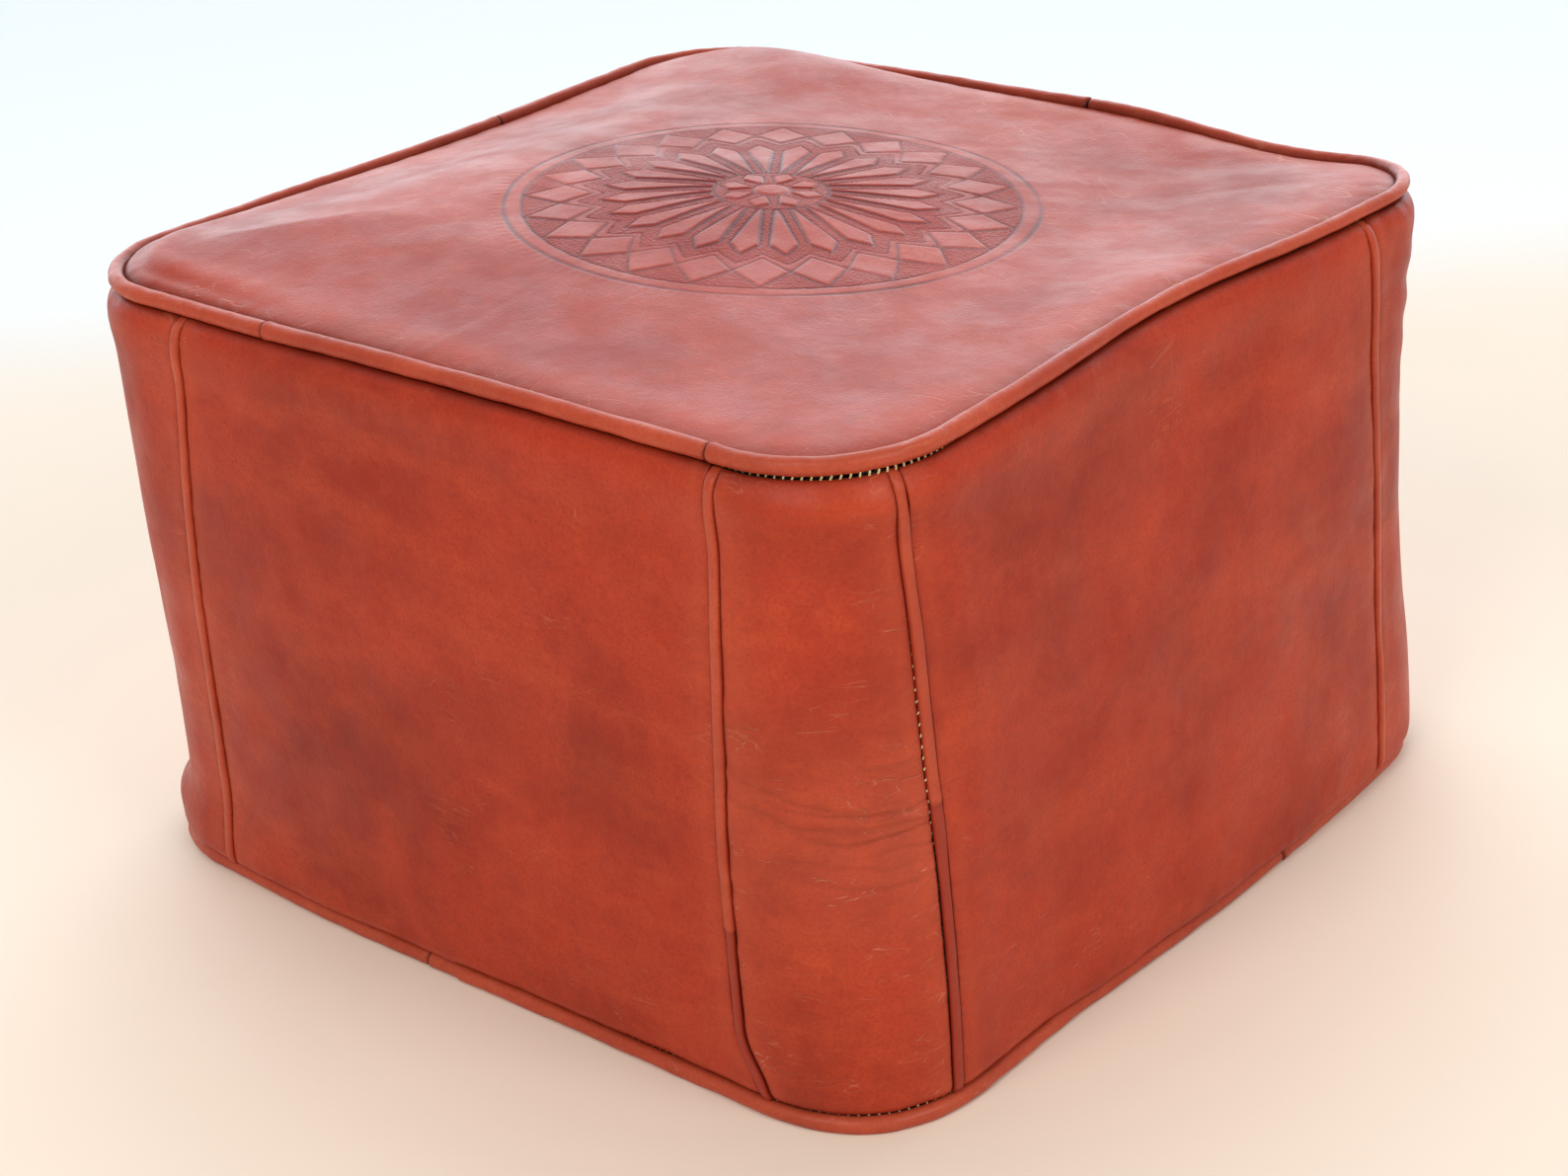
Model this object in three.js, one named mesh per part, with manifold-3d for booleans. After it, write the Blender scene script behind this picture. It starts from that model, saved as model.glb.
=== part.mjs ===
// A square leather pouf: a sewn cover with piped seams and a zip underneath, over a stuffed cotton bag.
// Millimetres, +Z up, origin at the centre of the base on the floor. -Y is the front face, +X the right one.
import * as THREE from "three";
import { mergeVertices } from "three/addons/utils/BufferGeometryUtils.js";
import Module from "manifold-3d";

const wasm = await Module();
wasm.setup();

// ---- Driving dimensions ----
const WIDTH = 500; // over the piping, along X
const DEPTH = 480; // over the piping, along Y
const CORNER_RADIUS = 70; // of the upright corners, at the leather's outer face
const LEATHER = 2;
const GAP = 0.3; // between pieces that touch
const PIPING_DIAMETER = 8;
const PIPING_BORE = 5.6;
const PIPING_PROUD = 1; // how far the piping stands out of the side walls
const PIPING_FLAT = 0.6; // the floor squashes the lower piping by this much
const CORD_DIAMETER = 4.8;
const THREAD_DIAMETER = 0.8;
const TOP_PIPING_Z = 297; // centre of the upper piping
const CROWN = 15; // rise of the top panel above its piping
const CROWN_RUN = 45; // distance from the edge over which the top rises
const BASE_RISE = 6; // the base panel sits this much higher than its piping, which leaves room for the zip
const BASE_RUN = 30;
const CORNER_STEPS = 8;
const SEARCH_STEP = 0.25; // between the points tried when a place on the outline is looked for
const WELD = 1e-3; // points nearer than this are one

// Upright seams: the face, the coordinate where the flat piping is centred, the side of it that the thread
// runs on (1 is anticlockwise, seen from above) and the panel that follows it anticlockwise.
const SEAMS = [
  { name: "front_right", face: "front", at: 179, threadSide: 1, panelAfter: "corner_panel_front_right" },
  { name: "right_front", face: "right", at: -206, threadSide: -1, panelAfter: "side_panel_right" },
  { name: "right_back", face: "right", at: 154, threadSide: -1, panelAfter: "corner_panel_back_right" },
  { name: "back_right", face: "back", at: 190, threadSide: 1, panelAfter: "side_panel_back" },
  { name: "back_left", face: "back", at: -175, threadSide: 1, panelAfter: "corner_panel_back_left" },
  { name: "left_back", face: "left", at: 165, threadSide: -1, panelAfter: "side_panel_left" },
  { name: "left_front", face: "left", at: -180, threadSide: -1, panelAfter: "corner_panel_front_left" },
  { name: "front_left", face: "front", at: -163, threadSide: 1, panelAfter: "side_panel_front" },
];
const FLAT_PIPING_WIDTH = 6;
const FLAT_PIPING_THICKNESS = 3.2;

// Splices of the round piping, each a face and a coordinate on it; the strips run anticlockwise between them.
const TOP_SPLICES = [
  ["front", -90],
  ["front", 172],
  ["back", 30],
  ["left", 60],
];
const BASE_SPLICES = [
  ["front", -20],
  ["right", 60],
  ["back", -50],
  ["left", -80],
];

// Zip: the teeth run along X under the middle of the base.
const ZIP_PITCH = 6; // between two teeth of one half
const ZIP_TEETH = 58; // in each half
const TOOTH_WIDTH = 2.7;
const TOOTH_OVERLAP = 1.2; // how far a tooth reaches past the middle
const BEAD_INNER = 2.4;
const BEAD_OUTER = 4;
const CHAIN_THICKNESS = 2.4;
const TAPE_WIDTH = 12;
const TAPE_THICKNESS = 0.8;
const CHAIN_MARGIN = 1; // of bead before the first tooth
const LAST_TOOTH_PAST = 2.8; // how far the teeth reach past the slider's centre, to its neck
const STOP_LENGTH = 3;
const TOP_STOP_INNER = 1.6; // half the gap between the two top stops
const SLOT_HALF_WIDTH = 7;
const SLOT_CLEAR = 4; // from a stop to the slot's end
const TAPE_OVERHANG = 8; // of a tape beyond the slot's end

// Zip slider and its pull
const SLIDER_LENGTH = 14;
const SLIDER_X = 170; // centre of the slider with the zip shut
const SLIDER_TAIL_HALF = 4.8; // half its width at the narrow end
const SLIDER_NOSE_HALF = 2; // half the flat of its wide end
const SLIDER_NOSE_RUN = 3; // length of the rounding at the wide end
const PLATE_THICKNESS = 1.2;
const LIP_INNER = 4.6;
const LIP_OUTER = 5.6; // also half the plates' greatest width
const LIP_SETBACK = 0.4;
const LIP_TAIL_CLEAR = 1;
const LIP_NOSE_CLEAR = 4;
const NECK_FROM_NOSE = [3.6, 1];
const NECK_HALF_WIDTH = 0.9;
const BRIDGE_HALF_LENGTH = 3.6;
const BRIDGE_HALF_WIDTH = 1.2;
const BRIDGE_POST = 0.8;
const BRIDGE_CLEAR = 2;
const BRIDGE_THICKNESS = 1;
const JOINED_BY = 0.5; // how far one part of the slider runs into the next
const PULL_LENGTH = 26;
const PULL_THICKNESS = 1;
const PULL_HALF_WIDTH = 4;
const PULL_TIP_HALF_WIDTH = 3.2;
const PULL_TIP_RUN = 5;
const PULL_SHOULDER = 8; // length of the wide part round the eye
const PULL_TILT = THREE.MathUtils.degToRad(15);
const CROSS_BAR = 1.2;
const EYE_LENGTH = 6.4;
const EYE_HALF_WIDTH = 2;
const TIP_HOLE_RADIUS = 1.4;
const TIP_HOLE_FROM_TIP = 4.2;
const CROSS_BAR_LIFT = 0.05; // the cross bar hangs this much above the middle of the bridge's opening

// Stuffed bag
const BAG_INSET = 3.5; // from the outline to the bag's cloth
const BAG_CLOTH = 1.2;
const BAG_FLOOR_Z = 15;
const BAG_TOP_CLEAR = 2; // below the upper piping
const FILLING_SLOT = [220, 40];
const WADDING = 20;

// Sides of the round sections
const PIPING_SIDES = 10;
const BORE_SIDES = 8;
const CORD_SIDES = 6;
const THREAD_SIDES = 4;

// ---- Worked out from those ----
const HALF_X = WIDTH / 2 - PIPING_PROUD; // outer face of the side walls
const HALF_Y = DEPTH / 2 - PIPING_PROUD;
const PIPING_RADIUS = PIPING_DIAMETER / 2;
const PIPING_INSET = PIPING_RADIUS - PIPING_PROUD;
const PANEL_INSET = PIPING_INSET + PIPING_RADIUS + GAP; // edge of the top and base panels
const BASE_PIPING_Z = PIPING_RADIUS - PIPING_FLAT;
const THREAD_STEP = PIPING_RADIUS + GAP + THREAD_DIAMETER / 2; // from the piping's centre to its seam thread
const WALL_BOTTOM = BASE_PIPING_Z + THREAD_STEP + THREAD_DIAMETER / 2 + GAP;
const WALL_TOP = TOP_PIPING_Z - THREAD_STEP - THREAD_DIAMETER / 2 - GAP;
const BASE_Z = BASE_PIPING_Z + BASE_RISE; // middle of the leather over the flat part of the base
const TAPE_Z = BASE_Z + LEATHER / 2 + GAP + TAPE_THICKNESS / 2; // middle of the zip's tapes and teeth

// ---- Materials ----
const leather = new THREE.MeshStandardMaterial({ color: 0xa84a30, roughness: 0.45 });
const pipingLeather = new THREE.MeshStandardMaterial({ color: 0xb4573d, roughness: 0.42 });
const underside = new THREE.MeshStandardMaterial({ color: 0x9a5a40, roughness: 0.8 });
const cotton = new THREE.MeshStandardMaterial({ color: 0xe6dcc4, roughness: 0.95 });
const threadCotton = new THREE.MeshStandardMaterial({ color: 0xe0cf9a, roughness: 0.8 });
const jute = new THREE.MeshStandardMaterial({ color: 0xcbb48a, roughness: 0.95 });
const wadding = new THREE.MeshStandardMaterial({ color: 0xf2efe6, roughness: 1 });
const foam = new THREE.MeshStandardMaterial({ color: 0xe9d9a6, roughness: 1 });
const tape = new THREE.MeshStandardMaterial({ color: 0x5a2a1c, roughness: 0.9 });
const brass = new THREE.MeshStandardMaterial({ color: 0xc79a4b, roughness: 0.35, metalness: 1 });

// ---- The pouf's outline: a rounded rectangle, measured anticlockwise from the middle of the front face ----
const STRAIGHT_X = 2 * (HALF_X - CORNER_RADIUS);
const STRAIGHT_Y = 2 * (HALF_Y - CORNER_RADIUS);
const ARC = (Math.PI / 2) * CORNER_RADIUS;
const PERIMETER = 2 * (STRAIGHT_X + STRAIGHT_Y) + 4 * ARC;

// The four straights, each followed by a corner: its start, its length, its direction and its normal.
const SIDES = [
  { start: -STRAIGHT_X / 2, length: STRAIGHT_X, along: [1, 0], out: [0, -1] },
  { start: STRAIGHT_X / 2 + ARC, length: STRAIGHT_Y, along: [0, 1], out: [1, 0] },
  { start: STRAIGHT_X / 2 + STRAIGHT_Y + 2 * ARC, length: STRAIGHT_X, along: [-1, 0], out: [0, 1] },
  { start: STRAIGHT_X * 1.5 + STRAIGHT_Y + 3 * ARC, length: STRAIGHT_Y, along: [0, -1], out: [-1, 0] },
];

// The point at a distance along the outline, moved inwards by inset, with the outline's direction there.
function outlineAt(distance, inset = 0) {
  const first = SIDES[0].start;
  const s = ((((distance - first) % PERIMETER) + PERIMETER) % PERIMETER) + first;
  const side = [...SIDES].reverse().find((one) => s >= one.start - 1e-9);
  const [ax, ay] = side.along;
  const [nx, ny] = side.out;
  const reach = Math.abs(nx) ? HALF_X : HALF_Y;
  const run = Math.min(s - side.start, side.length) - side.length / 2;
  const turned = Math.max(0, s - side.start - side.length) / CORNER_RADIUS;
  const radius = CORNER_RADIUS - inset;
  const centre = reach - CORNER_RADIUS;
  const cos = Math.cos(turned);
  const sin = Math.sin(turned);
  return {
    x: ax * run + nx * centre + radius * (nx * cos + ax * sin),
    y: ay * run + ny * centre + radius * (ny * cos + ay * sin),
    direction: new THREE.Vector3(ax * cos - nx * sin, ay * cos - ny * sin, 0),
  };
}

// The distance along the outline of the point nearest (x, y).
function distanceOf(x, y) {
  let nearest = 0;
  let least = Infinity;
  for (let s = 0; s < PERIMETER; s += SEARCH_STEP) {
    const p = outlineAt(s);
    const away = Math.hypot(p.x - x, p.y - y);
    if (away < least) [least, nearest] = [away, s];
  }
  return nearest;
}

// The distances that draw a stretch: its ends, the ends of the straights and the corners' steps.
function stations(from, to) {
  const found = [from];
  for (let lap = -1; lap <= 2; lap += 1) {
    for (const side of SIDES) {
      const cornerStart = side.start + side.length + lap * PERIMETER;
      for (let i = 0; i <= CORNER_STEPS; i += 1) found.push(cornerStart + (ARC * i) / CORNER_STEPS);
    }
  }
  const apart = 1; // stations nearer than this are one
  const between = found.filter((s) => s > from + apart && s < to - apart);
  return [...new Set([from, ...between.sort((a, b) => a - b), to])];
}

// ---- Shapes ----
const mesh = (name, geometry, material) => {
  const made = new THREE.Mesh(geometry, material);
  made.name = name;
  return made;
};

function box(x0, x1, y0, y1, z0, z1) {
  const made = new THREE.BoxGeometry(x1 - x0, y1 - y0, z1 - z0);
  return made.translate((x0 + x1) / 2, (y0 + y1) / 2, (z0 + z1) / 2);
}

function extrude(shape, z0, z1) {
  return new THREE.ExtrudeGeometry(shape, { depth: z1 - z0, bevelEnabled: false }).translate(0, 0, z0);
}

// A band that follows the outline between two distances, between two insets.
function band(from, to, outerInset, innerInset) {
  const along = stations(from, to);
  const points = [
    ...along.map((s) => outlineAt(s, outerInset)),
    ...along.reverse().map((s) => outlineAt(s, innerInset)),
  ];
  return new THREE.Shape(points.map((p) => new THREE.Vector2(p.x, p.y)));
}

// The whole way round, between two insets.
function ring(outerInset, innerInset) {
  const loop = (inset) =>
    stations(0, PERIMETER)
      .slice(0, -1)
      .map((s) => outlineAt(s, inset))
      .map((p) => new THREE.Vector2(p.x, p.y));
  const shape = new THREE.Shape(loop(outerInset));
  shape.holes.push(new THREE.Path(loop(innerInset)));
  return shape;
}

// A curve on the outline whose steps fall on its stations, so that straights take one step.
class OutlineCurve extends THREE.Curve {
  constructor(from, to, inset, z) {
    super();
    Object.assign(this, { along: stations(from, to), inset, z });
  }
  get steps() {
    return this.along.length - 1;
  }
  distance(t) {
    const at = t * this.steps;
    const i = Math.min(Math.floor(at), this.steps - 1);
    return THREE.MathUtils.lerp(this.along[i], this.along[i + 1], at - i);
  }
  getPoint(t) {
    const p = outlineAt(this.distance(t), this.inset);
    return new THREE.Vector3(p.x, p.y, this.z);
  }
  getPointAt(t) {
    return this.getPoint(t);
  }
  getTangentAt(t) {
    return outlineAt(this.distance(t)).direction;
  }
}

// A round section with the given number of sides, its lowest part cut flat at -flatAt.
function roundSection(radius, sides, flatAt = radius) {
  const points = [];
  for (let i = 0; i < sides; i += 1) {
    const angle = ((i + 0.5) / sides) * 2 * Math.PI;
    // A swept section's first axis lies along -Z or +Z, so both are kept within flatAt.
    const up = THREE.MathUtils.clamp(radius * Math.cos(angle), -flatAt, flatAt);
    points.push(new THREE.Vector2(up, radius * Math.sin(angle)));
  }
  return points;
}

function sweep(curve, outer, inner) {
  const shape = new THREE.Shape(outer);
  if (inner) shape.holes.push(new THREE.Path(inner));
  return new THREE.ExtrudeGeometry(shape, { steps: curve.steps, extrudePath: curve });
}

// 0 at the edge and 1 from run inwards, smooth at both ends, over the outline at an inset.
function plateau(x, y, inset, run) {
  const fromX = HALF_X - inset - Math.abs(x);
  const fromY = HALF_Y - inset - Math.abs(y);
  return THREE.MathUtils.smoothstep(fromX, 0, run) * THREE.MathUtils.smoothstep(fromY, 0, run);
}

// A slab with the outline's plan at an inset, between two heights that are functions of x and y.
// Its corner cells are spaced so that its rounded corners have the same steps as the outline.
function slab(inset, lowAt, highAt, middleCells = 3) {
  const cornerCells = CORNER_STEPS / 2;
  const cells = 2 * cornerCells + middleCells;
  const radius = CORNER_RADIUS - inset;
  const geometry = new THREE.BoxGeometry(2, 2, 2, cells, cells, 1);
  const turn = (cellsFromSquare) => radius * Math.tan(((Math.PI / 4) * cellsFromSquare) / cornerCells);
  const place = (t, half) => {
    const cell = ((t + 1) / 2) * cells;
    const square = half - radius;
    if (cell <= cornerCells) return -square - turn(cornerCells - cell);
    if (cell >= cells - cornerCells) return square + turn(cell - cells + cornerCells);
    return -square + (2 * square * (cell - cornerCells)) / middleCells;
  };
  const position = geometry.attributes.position;
  for (let i = 0; i < position.count; i += 1) {
    const halfX = HALF_X - inset;
    const halfY = HALF_Y - inset;
    let x = place(position.getX(i), halfX);
    let y = place(position.getY(i), halfY);
    const beyondX = Math.abs(x) - (halfX - radius);
    const beyondY = Math.abs(y) - (halfY - radius);
    if (beyondX > 0 && beyondY > 0) {
      // A square corner cell is drawn in to a quarter circle.
      const share = Math.max(beyondX, beyondY) / Math.hypot(beyondX, beyondY);
      x = Math.sign(x) * (halfX - radius + beyondX * share);
      y = Math.sign(y) * (halfY - radius + beyondY * share);
    }
    const level = position.getZ(i) > 0 ? highAt : lowAt;
    position.setXYZ(i, x, y, level(x, y));
  }
  return geometry;
}

// ---- Cutting and joining ----
function solid(geometry) {
  const bare = new THREE.BufferGeometry();
  bare.setAttribute("position", geometry.getAttribute("position"));
  bare.setIndex(geometry.index);
  const merged = mergeVertices(bare, WELD);
  return new wasm.Manifold(
    new wasm.Mesh({
      numProp: 3,
      vertProperties: merged.attributes.position.array,
      triVerts: new Uint32Array(merged.index.array),
    }),
  );
}

function geometryOf(manifold) {
  const made = manifold.getMesh();
  const geometry = new THREE.BufferGeometry();
  geometry.setAttribute("position", new THREE.BufferAttribute(made.vertProperties, 3));
  geometry.setIndex(new THREE.BufferAttribute(made.triVerts, 1));
  return geometry;
}

function join(...geometries) {
  return geometryOf(geometries.map(solid).reduce((whole, one) => whole.add(one)));
}

function cut(geometry, ...tools) {
  return geometryOf(tools.map(solid).reduce((left, tool) => left.subtract(tool), solid(geometry)));
}

// ---- The cover's walls, corners and flat piping ----
const FACES = {
  front: (at) => distanceOf(at, -HALF_Y),
  right: (at) => distanceOf(HALF_X, at),
  back: (at) => distanceOf(at, HALF_Y),
  left: (at) => distanceOf(-HALF_X, at),
};

const seams = SEAMS.map((seam) => ({ ...seam, distance: FACES[seam.face](seam.at) }));
const THREAD_ROOM = THREAD_DIAMETER + GAP; // a thread and the gap beyond it

function uprightPieces() {
  const made = [];
  const half = FLAT_PIPING_WIDTH / 2;
  const proud = (FLAT_PIPING_THICKNESS - LEATHER) / 2;
  const height = WALL_TOP - WALL_BOTTOM;
  seams.forEach((seam, i) => {
    const next = seams[(i + 1) % seams.length];
    const end = next.distance > seam.distance ? next.distance : next.distance + PERIMETER;
    const panelFrom = seam.distance + half + GAP + (seam.threadSide > 0 ? THREAD_ROOM : 0);
    const panelTo = end - half - GAP - (next.threadSide < 0 ? THREAD_ROOM : 0);
    const threadAt = seam.distance + seam.threadSide * (half + GAP + THREAD_DIAMETER / 2);
    const centre = outlineAt(threadAt, LEATHER / 2);
    const thread = new THREE.CylinderGeometry(THREAD_DIAMETER / 2, THREAD_DIAMETER / 2, height, CORD_SIDES)
      .rotateX(Math.PI / 2)
      .translate(centre.x, centre.y, WALL_BOTTOM + height / 2);
    const piping = band(seam.distance - half, seam.distance + half, -proud, LEATHER + proud);
    made.push(
      mesh(seam.panelAfter, extrude(band(panelFrom, panelTo, 0, LEATHER), WALL_BOTTOM, WALL_TOP), leather),
      mesh(`upright_piping_${seam.name}`, extrude(piping, WALL_BOTTOM, WALL_TOP), pipingLeather),
      mesh(`seam_thread_${seam.name}`, thread, threadCotton),
    );
  });
  return made;
}

// ---- The round piping of the top and the base: leather strips, butted end to end, round one cord ----
function roundPiping(which, z, splices, flatAt) {
  const outer = roundSection(PIPING_RADIUS, PIPING_SIDES, flatAt);
  const inner = roundSection(PIPING_BORE / 2, BORE_SIDES);
  const ends = splices.map(([face, at]) => FACES[face](at));
  const made = ends.map((splice, i) => {
    const end = ends[(i + 1) % ends.length];
    const next = end > splice ? end : end + PERIMETER;
    return mesh(
      `${which}_piping_strip_${i + 1}`,
      sweep(new OutlineCurve(splice + GAP / 2, next - GAP / 2, PIPING_INSET, z), outer, inner),
      pipingLeather,
    );
  });
  const lapStart = FACES.back(0);
  const lap = [lapStart + GAP / 2, lapStart + PERIMETER - GAP / 2];
  const cordCurve = new OutlineCurve(...lap, PIPING_INSET, z);
  const side = which === "top" ? -1 : 1;
  const threadCurve = new OutlineCurve(...lap, LEATHER / 2, z + side * THREAD_STEP);
  const cord = sweep(cordCurve, roundSection(CORD_DIAMETER / 2, CORD_SIDES));
  const thread = sweep(threadCurve, roundSection(THREAD_DIAMETER / 2, THREAD_SIDES));
  made.push(mesh(`${which}_piping_cord`, cord, jute), mesh(`seam_thread_${which}`, thread, threadCotton));
  return made;
}

// ---- The top and base panels ----
const crown = (x, y) => CROWN * plateau(x, y, PANEL_INSET, CROWN_RUN);

const topLevel = (offset) => (x, y) => TOP_PIPING_Z + offset + crown(x, y);

const baseRise = (x, y) => BASE_RISE * plateau(x, y, PANEL_INSET, BASE_RUN);

const baseLevel = (offset) => (x, y) => BASE_PIPING_Z + offset + baseRise(x, y);

const TEETH_FROM = SLIDER_X + LAST_TOOTH_PAST - ZIP_TEETH * ZIP_PITCH;
const CHAIN_FROM = TEETH_FROM - CHAIN_MARGIN;
const CHAIN_TO = SLIDER_X + SLIDER_LENGTH / 2 + GAP;
const SLOT_FROM = CHAIN_FROM - STOP_LENGTH - SLOT_CLEAR;
const SLOT_TO = CHAIN_TO + STOP_LENGTH + SLOT_CLEAR;

function basePanels() {
  const whole = () => slab(PANEL_INSET, baseLevel(-LEATHER / 2), baseLevel(LEATHER / 2));
  const far = WIDTH;
  const slot = () => box(SLOT_FROM, SLOT_TO, -SLOT_HALF_WIDTH, SLOT_HALF_WIDTH, -far, far);
  return [
    mesh("base_panel_front", cut(whole(), box(-far, far, -GAP / 2, far, -far, far), slot()), underside),
    mesh("base_panel_back", cut(whole(), box(-far, far, -far, GAP / 2, -far, far), slot()), underside),
  ];
}

// ---- The zip ----
// Half of the chain: a bead on the tape's edge with its row of teeth. side is -1 in front, 1 behind.
function teeth(side) {
  const points = [
    [CHAIN_FROM, BEAD_OUTER],
    [CHAIN_TO, BEAD_OUTER],
    [CHAIN_TO, BEAD_INNER],
  ];
  const shift = side > 0 ? ZIP_PITCH / 2 : 0; // the back half's teeth fall between the front half's
  for (let i = ZIP_TEETH - 1; i >= 0; i -= 1) {
    const x = TEETH_FROM + i * ZIP_PITCH + shift;
    points.push(
      [x + TOOTH_WIDTH, BEAD_INNER],
      [x + TOOTH_WIDTH, -TOOTH_OVERLAP],
      [x, -TOOTH_OVERLAP],
      [x, BEAD_INNER],
    );
  }
  points.push([CHAIN_FROM, BEAD_INNER]);
  const shape = new THREE.Shape(points.map(([x, y]) => new THREE.Vector2(x, side * y)));
  return extrude(shape, TAPE_Z - CHAIN_THICKNESS / 2, TAPE_Z + CHAIN_THICKNESS / 2);
}

// The slider: two plates joined by a neck, lips that hold the teeth in, and a bridge for the pull.
const LOWER_PLATE_TOP = TAPE_Z - CHAIN_THICKNESS / 2 - GAP;
const LOWER_PLATE_BOTTOM = LOWER_PLATE_TOP - PLATE_THICKNESS;
const UPPER_PLATE_BOTTOM = TAPE_Z + CHAIN_THICKNESS / 2 + GAP;
const PULL_AXIS_Z = LOWER_PLATE_BOTTOM - BRIDGE_CLEAR / 2 + CROSS_BAR_LIFT;

function sliderPlate(z) {
  const half = SLIDER_LENGTH / 2;
  const shoulder = half - SLIDER_NOSE_RUN;
  const plate = new THREE.Shape();
  plate.moveTo(-half, -SLIDER_TAIL_HALF);
  plate.lineTo(shoulder, -LIP_OUTER);
  plate.quadraticCurveTo(half, -LIP_OUTER, half, -SLIDER_NOSE_HALF);
  plate.lineTo(half, SLIDER_NOSE_HALF);
  plate.quadraticCurveTo(half, LIP_OUTER, shoulder, LIP_OUTER);
  plate.lineTo(-half, SLIDER_TAIL_HALF);
  const round = { curveSegments: 4, bevelEnabled: false, depth: PLATE_THICKNESS };
  return new THREE.ExtrudeGeometry(plate, round).translate(0, 0, z);
}

function sliderLips() {
  const half = SLIDER_LENGTH / 2;
  const ends = [-half + LIP_TAIL_CLEAR, half - LIP_NOSE_CLEAR];
  const tapeRoom = TAPE_THICKNESS / 2 + GAP;
  const sides = [
    [LIP_INNER, LIP_OUTER - LIP_SETBACK],
    [-LIP_OUTER + LIP_SETBACK, -LIP_INNER],
  ];
  return sides.flatMap((across) => [
    box(...ends, ...across, LOWER_PLATE_TOP - JOINED_BY, TAPE_Z - tapeRoom),
    box(...ends, ...across, TAPE_Z + tapeRoom, UPPER_PLATE_BOTTOM + JOINED_BY),
  ]);
}

function sliderBridge() {
  const top = LOWER_PLATE_BOTTOM - BRIDGE_CLEAR;
  const across = [-BRIDGE_HALF_WIDTH, BRIDGE_HALF_WIDTH];
  const inner = BRIDGE_HALF_LENGTH - BRIDGE_POST;
  const postHeights = [top - JOINED_BY, LOWER_PLATE_BOTTOM + JOINED_BY];
  return [
    box(-BRIDGE_HALF_LENGTH, -inner, ...across, ...postHeights),
    box(inner, BRIDGE_HALF_LENGTH, ...across, ...postHeights),
    box(-BRIDGE_HALF_LENGTH, BRIDGE_HALF_LENGTH, ...across, top - BRIDGE_THICKNESS, top),
  ];
}

function slider() {
  const [neckFrom, neckTo] = NECK_FROM_NOSE.map((run) => SLIDER_LENGTH / 2 - run);
  const neckWidth = [-NECK_HALF_WIDTH, NECK_HALF_WIDTH];
  const neckHeights = [LOWER_PLATE_TOP - JOINED_BY, UPPER_PLATE_BOTTOM + JOINED_BY];
  const neck = box(neckFrom, neckTo, ...neckWidth, ...neckHeights);
  const plates = [sliderPlate(LOWER_PLATE_BOTTOM), sliderPlate(UPPER_PLATE_BOTTOM)];
  return join(...plates, neck, ...sliderLips(), ...sliderBridge());
}

// The pull points to -X. Its cross bar passes under the slider's bridge and its tip rests on the floor.
function pull() {
  const nearEnd = CROSS_BAR / 2;
  const tipFrom = -PULL_LENGTH + PULL_TIP_RUN;
  const tab = new THREE.Shape();
  tab.moveTo(nearEnd, -PULL_HALF_WIDTH);
  tab.lineTo(nearEnd, PULL_HALF_WIDTH);
  tab.lineTo(-PULL_SHOULDER, PULL_HALF_WIDTH);
  tab.lineTo(tipFrom, PULL_TIP_HALF_WIDTH);
  tab.quadraticCurveTo(-PULL_LENGTH, PULL_TIP_HALF_WIDTH, -PULL_LENGTH, 0);
  tab.quadraticCurveTo(-PULL_LENGTH, -PULL_TIP_HALF_WIDTH, tipFrom, -PULL_TIP_HALF_WIDTH);
  tab.lineTo(-PULL_SHOULDER, -PULL_HALF_WIDTH);
  const eye = new THREE.Path();
  eye.moveTo(-nearEnd, -EYE_HALF_WIDTH);
  eye.lineTo(-EYE_LENGTH, -EYE_HALF_WIDTH);
  eye.lineTo(-EYE_LENGTH, EYE_HALF_WIDTH);
  eye.lineTo(-nearEnd, EYE_HALF_WIDTH);
  const holeX = -PULL_LENGTH + TIP_HOLE_FROM_TIP;
  const hole = new THREE.Path().absarc(holeX, 0, TIP_HOLE_RADIUS, 0, 2 * Math.PI);
  tab.holes.push(eye, hole);
  const round = { curveSegments: 5, bevelEnabled: false, depth: PULL_THICKNESS };
  return new THREE.ExtrudeGeometry(tab, round).translate(0, 0, -PULL_THICKNESS / 2);
}

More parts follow.
